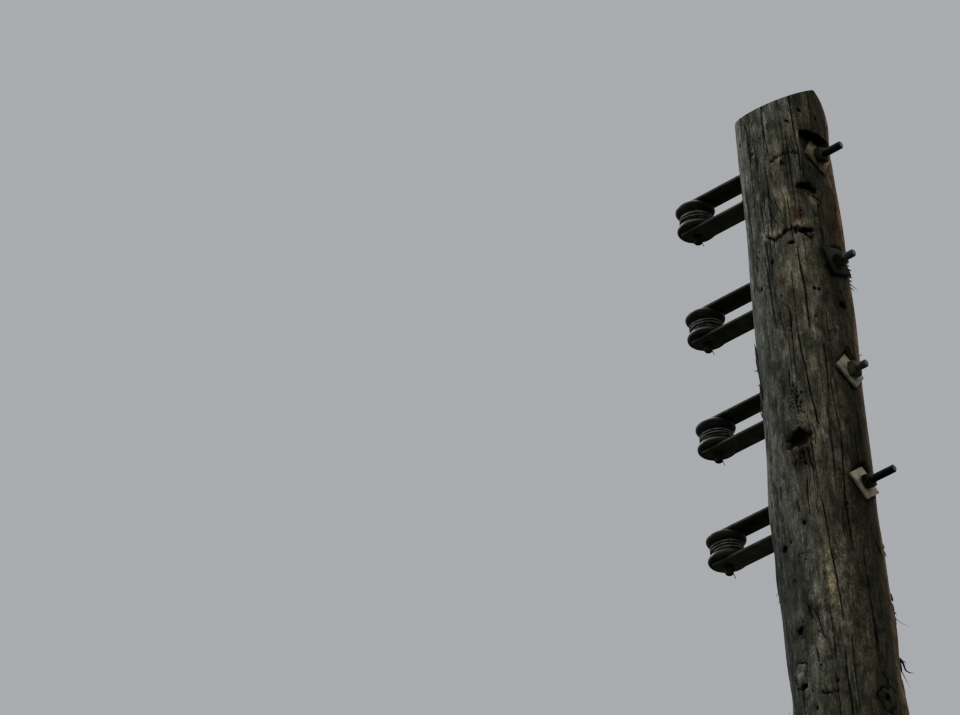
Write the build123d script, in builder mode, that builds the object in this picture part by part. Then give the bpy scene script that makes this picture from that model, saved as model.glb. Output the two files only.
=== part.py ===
from build123d import *
import math
import os

# Wooden overhead-line pole with four bent-strap brackets, each holding a spool insulator.
# Millimetres. +Z is up and the origin is the centre of the foot, at ground level.
# +X is the side of the nuts, -X the side of the brackets, and the line runs along Y.

# Shaft of the pole
pole_height = 8700.0
foot_diameter = 282.0
shoulder_diameter = 219.0
shoulder_depth = 1700.0
top_diameter = 177.0

# Roofed top: the ridge runs along X, and each side has its own slope
ridge_offset = 0.0
long_slope = 28.0
steep_slope = 38.0

# Rows of fittings down the pole
first_bolt_depth = 157.0
row_spacing = 250.0
row_count = 4

# Through bolts with square nuts and square washers
bolt_diameter = 16.0
bolt_hole_clearance = 1.0
bolt_head_side = 25.0
bolt_head_height = 10.0
bolt_tip_chamfer = 1.5
bolt_reach = (48.0, 44.0, 39.0, 70.0)
nut_side = 26.0
nut_height = 13.0
nut_turn = (14.0, 35.0, 8.0, 28.0)
washer_side = 60.0
washer_thickness = 5.0
washer_turn = (56.0, 19.0, 47.0, 37.0)
thread_clearance = 0.05

# Seats cut in the wood for the washers and the straps. A washer's seat leans back towards its top.
# The top washer lies in a notch sawn across the pole, and the others have sunk into the wood
washer_seat_depth = (16.0, 2.0, 5.0, 6.0)
washer_seat_lean = (10.0, 7.5, 12.0, 9.5)
washer_seat_is_sawn = (True, False, False, False)
sawn_notch_margin = 2.6
sunk_seat_margin = 0.8
strap_flat_margin = 0.3
strap_flat_end_margin = 6.0

# Bent strap of each bracket
strap_width = 50.0
strap_thickness = 6.0
strap_bend_radius = 12.0
arm_length = 164.0
arm_corner_radius = 5.0
pin_edge_distance = 23.0

# Spool insulator, its pin and its split pin
spool_height = 56.0
spool_diameter = 79.0
spool_neck_diameter = 48.0
spool_bore = 17.5
spool_rim_radius = 6.0
spool_groove_height = 32.0
spool_groove_radius = 4.0
spool_end_clearance = 0.3
pin_diameter = 16.0
pin_hole_clearance = 0.5
pin_head_diameter = 26.0
pin_head_height = 7.0
pin_head_round = 2.8
pin_stick_out = 18.0
split_pin_diameter = 3.6
split_pin_length = 34.0
split_pin_eye_radius = 4.5
split_pin_drop = 9.0
split_pin_clearance = 0.2

# Band of tie wire round the neck of each spool
tie_wire_diameter = 4.6
tie_band_turns = 3
tie_band_layers = 2
tie_clearance = 0.3

# Places worked out from the sizes above
pole_top_radius = top_diameter / 2
shoulder_radius = shoulder_diameter / 2
foot_radius = foot_diameter / 2
shoulder_z = pole_height - shoulder_depth
top_taper = (shoulder_radius - pole_top_radius) / shoulder_depth
row_z = [pole_height - first_bolt_depth - row * row_spacing for row in range(row_count)]


def pole_radius(z):
    return pole_top_radius + (pole_height - z) * top_taper


# The strap's flat is as wide as the strap, and the washer's seat is measured at the bolt
washer_seat_x = [pole_radius(z) - depth for z, depth in zip(row_z, washer_seat_depth)]
strap_flat_half_width = strap_width / 2 + strap_flat_margin
strap_seat_x = [-math.sqrt(pole_radius(z) ** 2 - strap_flat_half_width ** 2) for z in row_z]
sawn_notch_reach = washer_side / math.sqrt(2) + sawn_notch_margin
lean_rise = [math.tan(math.radians(lean)) for lean in washer_seat_lean]
bolt_hole_radius = bolt_diameter / 2 + bolt_hole_clearance

arm_gap = spool_height + 2 * spool_end_clearance
arm_top = arm_gap / 2 + strap_thickness
pin_x = [seat - arm_length + pin_edge_distance for seat in strap_seat_x]
tie_band_outer = spool_neck_diameter / 2 + tie_clearance + tie_band_layers * tie_wire_diameter
tie_band_height = tie_band_turns * tie_wire_diameter
neck_half_height = tie_band_height / 2 + tie_clearance + spool_groove_radius


# Leaning face that carries a washer, with its up direction along the pole
def seat_plane(row):
    lean = math.radians(washer_seat_lean[row])
    return Plane(
        origin=(washer_seat_x[row], 0, row_z[row]),
        x_dir=(0, 1, 0),
        z_dir=(math.cos(lean), 0, math.sin(lean)),
    )


# The washer's hole is centred on the bolt half way through the plate
def washer_centre(row):
    return (0, -washer_thickness / 2 * lean_rise[row])


# Shaft: two tapered lengths, roofed at the top
def build_pole():
    half_span = foot_diameter
    long_drop = (half_span + ridge_offset) * math.tan(math.radians(long_slope))
    steep_drop = (half_span - ridge_offset) * math.tan(math.radians(steep_slope))
    with BuildPart() as pole:
        with BuildSketch(Plane.XZ):
            with BuildLine():
                Polyline(
                    (0, 0),
                    (foot_radius, 0),
                    (shoulder_radius, shoulder_z),
                    (pole_top_radius, pole_height),
                    (0, pole_height),
                    close=True,
                )
            make_face()
        revolve(axis=Axis.Z)
        # Roof: what lies above the two slopes is sawn off
        with BuildSketch(Plane.YZ):
            with BuildLine():
                Polyline(
                    (ridge_offset, pole_height),
                    (-half_span, pole_height - long_drop),
                    (-half_span, pole_height + half_span),
                    (half_span, pole_height + half_span),
                    (half_span, pole_height - steep_drop),
                    close=True,
                )
            make_face()
        extrude(amount=half_span, both=True, mode=Mode.SUBTRACT)
        for row in range(row_count):
            z = row_z[row]
            ledge_x = washer_seat_x[row] - sawn_notch_reach * lean_rise[row]
            run_out_x = washer_seat_x[row] + half_span * lean_rise[row]
            sunk_side = washer_side + 2 * sunk_seat_margin
            # Flat for the strap
            with BuildSketch(Plane.XZ):
                with Locations((strap_seat_x[row] - half_span / 2, z)):
                    Rectangle(half_span, 2 * (arm_top + strap_flat_end_margin))
            extrude(amount=half_span, both=True, mode=Mode.SUBTRACT)
            if washer_seat_is_sawn[row]:
                # Notch with a ledge at its top, running out of the wood below
                with BuildSketch(Plane.XZ):
                    with BuildLine():
                        Polyline(
                            (ledge_x, z + sawn_notch_reach),
                            (run_out_x, z - half_span),
                            (run_out_x + half_span, z - half_span),
                            (run_out_x + half_span, z + sawn_notch_reach),
                            close=True,
                        )
                    make_face()
                extrude(amount=half_span, both=True, mode=Mode.SUBTRACT)
            else:
                # Sunk seat in the outline of the washer
                with BuildSketch(seat_plane(row)):
                    with Locations(washer_centre(row)):
                        Rectangle(sunk_side, sunk_side, rotation=washer_turn[row])
                extrude(amount=half_span, mode=Mode.SUBTRACT)
            # Hole of the through bolt
            with BuildSketch(Plane.YZ):
                with Locations((0, z)):
                    Circle(bolt_hole_radius)
            extrude(amount=half_span, both=True, mode=Mode.SUBTRACT)
    pole.part.label = "pole"
    return pole.part


# One strap, bent into a back and two arms
def build_strap(row):
    z = row_z[row]
    back_x = strap_seat_x[row]
    tip_x = back_x - arm_length
    with BuildPart() as strap:
        with BuildSketch(Plane.XZ):
            with Locations(((back_x + tip_x) / 2, z)):
                Rectangle(arm_length, 2 * arm_top)
        extrude(amount=strap_width / 2, both=True)
        back_corners = strap.edges().filter_by(Axis.Y).group_by(Axis.X)[-1]
        fillet(back_corners, strap_bend_radius)
        with BuildSketch(Plane.XZ):
            with Locations((tip_x, z)):
                Rectangle(2 * (arm_length - strap_thickness), arm_gap)
            inner_corners = vertices().group_by(Axis.X)[-1]
            fillet(inner_corners, strap_bend_radius - strap_thickness)
        extrude(amount=strap_width, both=True, mode=Mode.SUBTRACT)
        tip_corners = strap.edges().filter_by(Axis.Z).group_by(Axis.X)[0]
        fillet(tip_corners, arm_corner_radius)
        with BuildSketch(Plane.XY.offset(z)):
            with Locations((pin_x[row], 0)):
                Circle(pin_diameter / 2 + pin_hole_clearance)
        extrude(amount=2 * arm_top, both=True, mode=Mode.SUBTRACT)
        with BuildSketch(Plane.YZ.offset(back_x)):
            with Locations((0, z)):
                Circle(bolt_hole_radius)
        extrude(amount=-2 * strap_thickness, mode=Mode.SUBTRACT)
    strap.part.label = f"bracket_strap_{row + 1}"
    return strap.part


# Spool insulator: two rounded flanges and a deep neck between them
def build_spool(row):
    half_height = spool_height / 2
    half_groove = spool_groove_height / 2
    flange_radius = spool_diameter / 2
    neck_radius = spool_neck_diameter / 2
    section = Plane(origin=(pin_x[row], 0, row_z[row]), x_dir=(1, 0, 0), z_dir=(0, -1, 0))
    with BuildPart() as spool:
        with BuildSketch(section):
            with BuildLine():
                Polyline(
                    (spool_bore / 2, -half_height),
                    (flange_radius, -half_height),
                    (flange_radius, -half_groove),
                    (neck_radius, -neck_half_height),
                    (neck_radius, neck_half_height),
                    (flange_radius, half_groove),
                    (flange_radius, half_height),
                    (spool_bore / 2, half_height),
                    close=True,
                )
            make_face()
            rows_of_corners = vertices().group_by(Axis.Y)
            rim_corners = rows_of_corners[0].sort_by(Axis.X)[-1:] + rows_of_corners[-1].sort_by(Axis.X)[-1:]
            groove_corners = [corner for corners in rows_of_corners[1:-1] for corner in corners]
            fillet(rim_corners, spool_rim_radius)
            fillet(groove_corners, spool_groove_radius)
        revolve(axis=Axis((pin_x[row], 0, 0), (0, 0, 1)))
    spool.part.label = f"spool_insulator_{row + 1}"
    return spool.part


# Band of tie wire wound round the neck
def build_tie_band(row):
    with BuildPart() as band:
        with BuildSketch(Plane.XY.offset(row_z[row] - tie_band_height / 2)):
            with Locations((pin_x[row], 0)):
                Circle(tie_band_outer)
                Circle(spool_neck_diameter / 2 + tie_clearance, mode=Mode.SUBTRACT)
        extrude(amount=tie_band_height)
    band.part.label = f"tie_wire_{row + 1}"
    return band.part


# Headed pin that carries the spool
def build_spool_pin(row):
    head_z = row_z[row] + arm_top
    foot_z = row_z[row] - arm_top - pin_stick_out
    with BuildPart() as pin:
        with BuildSketch(Plane.XY.offset(foot_z)):
            with Locations((pin_x[row], 0)):
                Circle(pin_diameter / 2)
        extrude(amount=head_z - foot_z)
        chamfer(pin.edges().group_by(Axis.Z)[0], bolt_tip_chamfer)
        with BuildSketch(Plane.XY.offset(head_z)):
            with Locations((pin_x[row], 0)):
                Circle(pin_head_diameter / 2)
        extrude(amount=pin_head_height)
        fillet(pin.edges().group_by(Axis.Z)[-1], pin_head_round)
        with BuildSketch(Plane.XZ.offset(-spool_diameter)):
            with Locations((pin_x[row], foot_z + split_pin_drop)):
                Circle(split_pin_diameter / 2 + split_pin_clearance)
        extrude(amount=2 * spool_diameter, mode=Mode.SUBTRACT)
    pin.part.label = f"spool_pin_{row + 1}"
    return pin.part


# Split pin through the foot of the spool pin, with a round eye
def build_split_pin(row):
    z = row_z[row] - arm_top - pin_stick_out + split_pin_drop
    eye_y = -pin_diameter / 2 - split_pin_eye_radius - split_pin_diameter / 2
    wire_centre = (pin_x[row], eye_y, z + split_pin_eye_radius)
    with BuildPart() as split_pin:
        with BuildSketch(Plane.XZ.offset(-eye_y - split_pin_eye_radius)):
            with Locations((pin_x[row], z)):
                Circle(split_pin_diameter / 2)
        extrude(amount=-split_pin_length)
        with BuildSketch(Plane(origin=wire_centre, x_dir=(0, 0, 1), z_dir=(0, -1, 0))):
            Circle(split_pin_diameter / 2)
        revolve(axis=Axis((pin_x[row], eye_y, z), (1, 0, 0)))
    split_pin.part.label = f"split_pin_{row + 1}"
    return split_pin.part


# Through bolt: square head inside the bracket, long end beyond the nut
def build_through_bolt(row):
    z = row_z[row]
    head_x = strap_seat_x[row] - strap_thickness
    tip_x = pole_radius(z) + bolt_reach[row]
    with BuildPart() as bolt:
        with BuildSketch(Plane.YZ.offset(head_x)):
            with Locations((0, z)):
                Circle(bolt_diameter / 2)
        extrude(amount=tip_x - head_x)
        chamfer(bolt.edges().group_by(Axis.X)[-1], bolt_tip_chamfer)
        with BuildSketch(Plane.YZ.offset(head_x)):
            with Locations((0, z)):
                Rectangle(bolt_head_side, bolt_head_side)
        extrude(amount=-bolt_head_height)
        chamfer(bolt.edges().group_by(Axis.X)[0], bolt_tip_chamfer)
    bolt.part.label = f"through_bolt_{row + 1}"
    return bolt.part


# Square plate washer, turned about the bolt as it was tightened
def build_washer(row):
    with BuildPart() as washer:
        with BuildSketch(seat_plane(row)):
            with Locations(washer_centre(row)):
                Rectangle(washer_side, washer_side, rotation=washer_turn[row])
                Circle(bolt_hole_radius, mode=Mode.SUBTRACT)
        extrude(amount=washer_thickness)
    washer.part.label = f"square_washer_{row + 1}"
    return washer.part


# Square nut: its lowest corner bears on the leaning washer
def build_nut(row):
    turn = math.radians(nut_turn[row])
    corner_drop = nut_side / 2 * (math.cos(turn) + math.sin(turn))
    washer_face_x = washer_seat_x[row] + washer_thickness / math.cos(math.radians(washer_seat_lean[row]))
    nut_seat_x = washer_face_x + corner_drop * lean_rise[row]
    with BuildPart() as nut:
        with BuildSketch(Plane.YZ.offset(nut_seat_x)):
            with Locations((0, row_z[row])):
                Rectangle(nut_side, nut_side, rotation=nut_turn[row])
                Circle(bolt_diameter / 2 + thread_clearance, mode=Mode.SUBTRACT)
        extrude(amount=nut_height)
    nut.part.label = f"square_nut_{row + 1}"
    return nut.part


row_builders = (
    build_strap,
    build_spool,
    build_tie_band,
    build_spool_pin,
    build_split_pin,
    build_through_bolt,
    build_washer,
    build_nut,
)

os.makedirs("parts", exist_ok=True)
pieces = [build_pole()]
for row in range(row_count):
    pieces += [build(row) for build in row_builders]
for piece in pieces:
    export_step(piece, f"parts/{piece.label}.step")
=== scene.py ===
import bmesh
import bpy
import math
import random
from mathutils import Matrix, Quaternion, Vector, noise


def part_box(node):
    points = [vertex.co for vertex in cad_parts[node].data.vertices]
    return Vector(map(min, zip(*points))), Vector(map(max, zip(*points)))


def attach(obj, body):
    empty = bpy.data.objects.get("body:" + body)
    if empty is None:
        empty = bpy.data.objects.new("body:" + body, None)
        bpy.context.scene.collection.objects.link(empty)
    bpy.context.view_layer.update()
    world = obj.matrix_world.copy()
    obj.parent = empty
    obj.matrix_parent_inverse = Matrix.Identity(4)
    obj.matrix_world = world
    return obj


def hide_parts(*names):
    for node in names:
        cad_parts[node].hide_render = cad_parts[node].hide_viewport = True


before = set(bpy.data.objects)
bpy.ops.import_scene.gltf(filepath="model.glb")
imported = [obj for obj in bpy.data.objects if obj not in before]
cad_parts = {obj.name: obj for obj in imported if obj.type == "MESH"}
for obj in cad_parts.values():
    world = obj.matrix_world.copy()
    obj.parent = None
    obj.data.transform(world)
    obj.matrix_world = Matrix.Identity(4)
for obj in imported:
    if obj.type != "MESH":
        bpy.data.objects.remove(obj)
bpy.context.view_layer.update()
rows = (1, 2, 3, 4)
random.seed(7)


def lowCorner(node):
    return Vector(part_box(node)[0])


def highCorner(node):
    return Vector(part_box(node)[1])


def middle(node):
    return (lowCorner(node) + highCorner(node)) / 2


weld = 0.00001  # points nearer than this are one


def onlyThis(piece):
    bpy.ops.object.select_all(action='DESELECT')
    piece.select_set(True)
    bpy.context.view_layer.objects.active = piece


def nameIt(name):  # the primitive just added gets its name
    piece = bpy.context.active_object
    piece.name = name
    piece.data.name = name
    return piece


def openUp(piece, kind='FACE'):  # edit mode with nothing selected
    onlyThis(piece)
    bpy.ops.object.mode_set(mode='EDIT')
    bpy.ops.mesh.select_mode(type=kind)
    bpy.ops.mesh.select_all(action='DESELECT')
    return bmesh.from_edit_mesh(piece.data)


def closeUp():
    bpy.ops.object.mode_set(mode='OBJECT')


def pickEdges(piece, test):
    mesh = bmesh.from_edit_mesh(piece.data)
    for edge in mesh.edges:
        edge.select = test(edge.verts[0].co, edge.verts[1].co)
    bmesh.update_edit_mesh(piece.data)


def pickFaces(piece, test):
    mesh = bmesh.from_edit_mesh(piece.data)
    for face in mesh.faces:
        face.select = test(face.calc_center_median(), face.normal)
    bmesh.update_edit_mesh(piece.data)


def applyAll(piece):  # its place, turn and modifiers go into the mesh
    onlyThis(piece)
    bpy.ops.object.transform_apply(location=True, rotation=True, scale=True)
    for modifier in list(piece.modifiers):
        bpy.ops.object.modifier_apply(modifier=modifier.name)


def facesOut(piece):
    openUp(piece)
    bpy.ops.mesh.select_all(action='SELECT')
    bpy.ops.mesh.remove_doubles(threshold=weld)
    bpy.ops.mesh.normals_make_consistent(inside=False)
    closeUp()


def smooth(piece, degrees):
    onlyThis(piece)
    bpy.ops.object.shade_smooth_by_angle(angle=math.radians(degrees))


def softenEdges(piece, width, steps=2):
    bevel = piece.modifiers.new("softEdges", 'BEVEL')
    bevel.width = width
    bevel.segments = steps
    bevel.limit_method = 'ANGLE'
    bevel.angle_limit = math.radians(30)
    applyAll(piece)


def drill(piece, place, direction, radius, depth=0.05):  # a round hole right through
    turn = Vector((0, 0, 1)).rotation_difference(Vector(direction)).to_euler()
    bpy.ops.mesh.primitive_cylinder_add(vertices=40, radius=radius, depth=depth, location=place,
                                        rotation=turn)
    cutBy(piece, nameIt("drill"), 'DIFFERENCE')


def cutBy(piece, cutter, operation):
    boolean = piece.modifiers.new("cut", 'BOOLEAN')
    boolean.operation = operation
    boolean.solver = 'EXACT'
    boolean.object = cutter
    onlyThis(piece)
    bpy.ops.object.modifier_apply(modifier=boolean.name)
    bpy.data.objects.remove(cutter)


def copyTo(source, name, shift):
    onlyThis(source)
    bpy.ops.object.duplicate(linked=False)
    piece = nameIt(name)
    piece.location = shift
    applyAll(piece)
    return piece


def joinAs(name, parts):
    bpy.ops.object.select_all(action='DESELECT')
    for part in parts:
        part.select_set(True)
    bpy.context.view_layer.objects.active = parts[0]
    bpy.ops.object.join()
    return nameIt(name)


def turnUp(name, profile, sides, ringShape=False):  # a lathe piece about Z, from pairs of radius and height
    radius, height = profile[0]
    bpy.ops.mesh.primitive_circle_add(vertices=sides, radius=radius, fill_type='NOTHING',
                                      location=(0, 0, height))
    piece = nameIt(name)
    applyAll(piece)
    openUp(piece, 'EDGE')
    bpy.ops.mesh.select_all(action='SELECT')
    for (radius, height), (nextRadius, nextHeight) in zip(profile, profile[1:]):
        rise = (0, 0, nextHeight - height)
        grow = nextRadius / radius
        bpy.ops.mesh.extrude_region_move(TRANSFORM_OT_translate={"value": rise})
        bpy.ops.transform.resize(value=(grow, grow, 1), center_override=(0, 0, nextHeight))
    if ringShape:
        bpy.ops.mesh.select_all(action='DESELECT')
        bpy.ops.mesh.select_non_manifold()
        bpy.ops.mesh.bridge_edge_loops()
    else:
        for radius, height in (profile[0], profile[-1]):
            pickEdges(piece, lambda a, b, z=height: abs(a.z - z) < 1e-6 and abs(b.z - z) < 1e-6)
            bpy.ops.mesh.edge_face_add()
    closeUp()
    facesOut(piece)
    return piece


def runWire(name, points, thickness, sides, taper=()):  # a bent wire along its points
    bpy.ops.curve.primitive_nurbs_path_add()
    wire = bpy.context.active_object
    wire.data.splines.clear()
    line = wire.data.splines.new('NURBS')
    line.points.add(len(points) - 1)
    for spot, place in zip(line.points, points):
        spot.co = (*place, 1)
    for spot, share in zip(line.points, taper):
        spot.radius = share
    line.order_u = 4
    line.use_endpoint_u = True
    wire.data.dimensions = '3D'
    wire.data.resolution_u = 4
    wire.data.bevel_depth = thickness / 2
    wire.data.bevel_resolution = sides
    wire.data.use_fill_caps = True
    onlyThis(wire)
    bpy.ops.object.convert(target='MESH')
    return nameIt(name)


def handOver(piece, slot, material, *nodes):
    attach(piece, "root")
    if nodes:
        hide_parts(*nodes)
    piece.data.materials.clear()
    piece.data.materials.append(material)


# Node groups shared by the materials
def newGroup(name, values, results):  # it reads a place and some values, and puts out numbers
    group = bpy.data.node_groups.new(name, 'ShaderNodeTree')
    group.interface.new_socket(name="Place", in_out='INPUT', socket_type='NodeSocketVector')
    for label, value in values.items():
        socket = group.interface.new_socket(name=label, in_out='INPUT', socket_type='NodeSocketFloat')
        socket.default_value = value
    for label in results:
        group.interface.new_socket(name=label, in_out='OUTPUT', socket_type='NodeSocketFloat')
    return group, group.nodes.new('NodeGroupInput'), group.nodes.new('NodeGroupOutput')


def addNode(tree, kind, **settings):
    node = tree.nodes.new(kind)
    for key, value in settings.items():
        setattr(node, key, value)
    return node


def feed(tree, socket, value):  # a link from another node, a number or a colour
    if isinstance(value, bpy.types.NodeSocket):
        tree.links.new(value, socket)
    else:
        socket.default_value = (*value, 1) if isinstance(value, tuple) else value


def noiseNode(tree, vector, scale, detail, rough):
    node = addNode(tree, 'ShaderNodeTexNoise')
    for label, value in (("Vector", vector), ("Scale", scale), ("Detail", detail), ("Roughness", rough)):
        feed(tree, node.inputs[label], value)
    return node.outputs['Fac']


def rampNode(tree, factor, stops):
    node = addNode(tree, 'ShaderNodeValToRGB')
    ramp = node.color_ramp
    while len(ramp.elements) < len(stops):
        ramp.elements.new(0.5)
    for element, (place, colour) in zip(ramp.elements, stops):
        element.position = place
        element.color = (*colour, 1)
    tree.links.new(factor, node.inputs['Fac'])
    return node.outputs['Color']


def mixNode(tree, factor, first, second, blend='MIX'):
    node = addNode(tree, 'ShaderNodeMix', data_type='RGBA', blend_type=blend)
    for number, value in ((0, factor), (6, first), (7, second)):
        feed(tree, node.inputs[number], value)
    return node.outputs[2]


def mathNode(tree, operation, first, second=0.0, clamp=False):
    node = addNode(tree, 'ShaderNodeMath', operation=operation, use_clamp=clamp)
    feed(tree, node.inputs[0], first)
    feed(tree, node.inputs[1], second)
    return node.outputs[0]


def times(tree, first, second):
    return mathNode(tree, 'MULTIPLY', first, second)


def addUp(tree, *parts):  # the sum of several values, each times its share
    total = times(tree, *parts[0])
    for value, share in parts[1:]:
        total = mathNode(tree, 'ADD', total, times(tree, value, share))
    return total


def sharpen(tree, value, low, high):  # a soft step between two levels
    node = addNode(tree, 'ShaderNodeMapRange', interpolation_type='SMOOTHSTEP')
    for label, part in (("Value", value), ("From Min", low), ("From Max", high)):
        feed(tree, node.inputs[label], part)
    return node.outputs['Result']


def stretchNode(tree, vector, scale):
    node = addNode(tree, 'ShaderNodeMapping')
    node.inputs['Scale'].default_value = scale
    tree.links.new(vector, node.inputs['Vector'])
    return node.outputs['Vector']


def makeMottle():  # cloudy spots from large to small
    group, start, end = newGroup("mottle", {"Scale": 20.0, "Low": 0.4, "High": 0.6}, ("Mask", "Height"))
    given = start.outputs
    cloud = noiseNode(group, given['Place'], given['Scale'], 7, 0.62)
    group.links.new(sharpen(group, cloud, given['Low'], given['High']), end.inputs['Mask'])
    group.links.new(cloud, end.inputs['Height'])
    return group


def makeGrain():  # long fibres along the trunk, in coordinates that flow round the knots
    layers = {"Broad": (0.18, 52, 5), "Streak": (0.1, 150, 6), "Fibre": (0.1, 520, 5)}
    group, start, end = newGroup("grain", {}, layers)
    for label, (along, scale, detail) in layers.items():
        place = stretchNode(group, start.outputs['Place'], (1, 1, along))
        group.links.new(noiseNode(group, place, scale, detail, 0.6), end.inputs[label])
    return group


mottleGroup = makeMottle()
grainGroup = makeGrain()


def useGroup(tree, group, place, **values):
    node = addNode(tree, 'ShaderNodeGroup', node_tree=group)
    tree.links.new(place, node.inputs['Place'])
    for key, value in values.items():
        node.inputs[key].default_value = value
    return node.outputs


def mottle(tree, place, scale, low, high, along=1):  # long spots along the trunk where along is under 1
    if along != 1:
        place = stretchNode(tree, place, (1, 1, along))
    return useGroup(tree, mottleGroup, place, Scale=scale, Low=low, High=high)


def newMaterial(name):
    material = bpy.data.materials.new(name)
    material.use_nodes = True
    tree = material.node_tree
    place = addNode(tree, 'ShaderNodeTexCoord').outputs['Object']
    return material, tree, tree.nodes['Principled BSDF'], place


def dress(tree, shader, colour, rough, gloss, height, strength, distance):  # what every finish sets
    tree.links.new(colour, shader.inputs['Base Color'])
    feed(tree, shader.inputs['Roughness'], rough)
    shader.inputs['Specular IOR Level'].default_value = gloss
    bump = addNode(tree, 'ShaderNodeBump')
    bump.inputs['Strength'].default_value = strength
    bump.inputs['Distance'].default_value = distance
    tree.links.new(height, bump.inputs['Height'])
    tree.links.new(bump.outputs['Normal'], shader.inputs['Normal'])


# Colours of the wood, and multipliers for them from the low to the high parts of each pattern
woodLook = {
    "pale": (0.25, 0.257, 0.218),
    "mid": (0.16, 0.163, 0.135),
    "dark": (0.094, 0.094, 0.075),
    "green": (0.105, 0.118, 0.082),
    "brown": (0.15, 0.112, 0.082),
    # painted shade: near black for the bottoms of cracks, breaks, knot holes and grooves, and the range over
    # which it sets in
    "crack": (0.007, 0.006, 0.0045),
    "crackEdge": (0.5, 0.82),
    "wideGrain": ((0.34, (0.42, 0.42, 0.41)), (0.5, (1, 1, 1)), (0.66, (1.68, 1.67, 1.62))),
    "fineGrain": ((0.36, (0.6, 0.59, 0.57)), (0.52, (1, 1, 1)), (0.7, (1.35, 1.34, 1.3))),
    "grit": ((0.33, (0.35, 0.35, 0.34)), (0.5, (1, 1, 1)), (0.67, (1.9, 1.89, 1.85))),
    "clouds": ((0.36, (0.38, 0.375, 0.36)), (0.5, (1, 1, 1)), (0.64, (1.8, 1.79, 1.75))),
    "greenShare": 0.35,
    "brownShare": 0.22,
    "speckShare": 0.55,
    "gloss": 0.2,
    "endGrit": ((0.35, (0.5, 0.5, 0.48)), (0.65, (1.5, 1.5, 1.45))),
    "ringTurn": 2100.0,  # radians for each metre outwards
    "ringWobble": 0.012,
    "tornDark": (0.03, 0.028, 0.03),
    "tornPale": (0.075, 0.062, 0.055),
}


def readAttribute(tree, name, output):
    return addNode(tree, 'ShaderNodeAttribute', attribute_name=name).outputs[output]


# painted shade: the hollows of cracks, breaks, knot holes and grooves are darkened towards near black
def darkenCracks(tree, colour):
    dark = sharpen(tree, readAttribute(tree, "paintedHollowShade", 'Fac'), *woodLook["crackEdge"])
    return mixNode(tree, dark, colour, woodLook["crack"])


def weatheredWood():
    material, tree, shader, place = newMaterial("weatheredWood")
    look = woodLook
    flow = readAttribute(tree, "grainPlace", 'Vector')
    grain = useGroup(tree, grainGroup, flow)
    broad = mottle(tree, place, 11.0, 0.4, 0.6, 0.35)
    patches = mottle(tree, place, 58.0, 0.42, 0.6, 0.6)
    specks = mottle(tree, place, 170.0, 0.55, 0.66, 0.5)
    grit = mottle(tree, flow, 420.0, 0.4, 0.6, 0.5)
    colour = rampNode(tree, grain['Streak'], ((0.34, look["dark"]), (0.5, look["mid"]), (0.68, look["pale"])))
    for pattern, share, shades in ((grain['Broad'], 1.0, "wideGrain"), (grain['Fibre'], 1.0, "fineGrain"),
                                   (grit['Height'], 1.0, "grit"), (patches['Height'], 0.95, "clouds")):
        colour = mixNode(tree, share, colour, rampNode(tree, pattern, look[shades]), 'MULTIPLY')
    for mask, share, tint in ((broad['Mask'], "greenShare", "green"),
                              (patches['Mask'], "brownShare", "brown"),
                              (specks['Mask'], "speckShare", "dark")):
        colour = mixNode(tree, times(tree, mask, look[share]), colour, look[tint])
    # this attribute carries painted side light and painted shadow as well as the wood's weathered tone
    colour = mixNode(tree, 1.0, colour, readAttribute(tree, "weatheringAndPaintedLight", 'Color'), 'MULTIPLY')
    height = addUp(tree, (grain['Streak'], 0.6), (grain['Fibre'], 0.35), (patches['Height'], 0.3),
                   (specks['Mask'], -0.12), (grit['Height'], 0.3))
    dress(tree, shader, darkenCracks(tree, colour), 0.9, look["gloss"], height, 0.8, 0.0026)
    return material


def endGrain():  # rings about the heart of the trunk, greyed by the rain
    material, tree, shader, place = newMaterial("endGrain")
    look = woodLook
    cloud = mottle(tree, place, 14.0, 0.3, 0.7)
    grit = mottle(tree, place, 260.0, 0.4, 0.6)
    parts = addNode(tree, 'ShaderNodeSeparateXYZ')
    tree.links.new(place, parts.inputs[0])
    x, y = parts.outputs['X'], parts.outputs['Y']
    reach = mathNode(tree, 'SQRT', addUp(tree, (x, x), (y, y)))
    reach = mathNode(tree, 'ADD', reach, times(tree, cloud['Height'], look["ringWobble"]))
    ring = mathNode(tree, 'SINE', times(tree, reach, look["ringTurn"]))
    ring = mathNode(tree, 'ADD', times(tree, ring, 0.5), 0.5)
    flow = readAttribute(tree, "grainPlace", 'Vector')  # the same along each radius, so its noise makes rays
    rays = sharpen(tree, noiseNode(tree, stretchNode(tree, flow, (1, 1, 0)), 95.0, 5, 0.6), 0.56, 0.66)
    colour = mixNode(tree, ring, look["dark"], look["mid"])
    colour = mixNode(tree, times(tree, cloud['Mask'], 0.5), colour, look["green"])
    colour = mixNode(tree, 1.0, colour, rampNode(tree, grit['Height'], look["endGrit"]), 'MULTIPLY')
    # painted shade in the radial checks of the end grain
    colour = mixNode(tree, times(tree, rays, 0.85), colour, look["crack"])
    height = addUp(tree, (ring, 0.4), (grit['Height'], 0.8), (rays, -1.0))
    dress(tree, shader, darkenCracks(tree, colour), 0.92, look["gloss"], height, 0.6, 0.0015)
    return material


def splinterWood():  # torn fibres, dark and damp
    material, tree, shader, place = newMaterial("splinterWood")
    streaks = mottle(tree, place, 300.0, 0.4, 0.6, 0.2)
    colour = mixNode(tree, streaks['Mask'], woodLook["tornDark"], woodLook["tornPale"])
    dress(tree, shader, colour, 0.9, 0.5, streaks['Height'], 0.5, 0.0006)
    return material


dustShades = ((0.3, (0.6, 0.6, 0.6)), (0.7, (1.4, 1.4, 1.4)))


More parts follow.
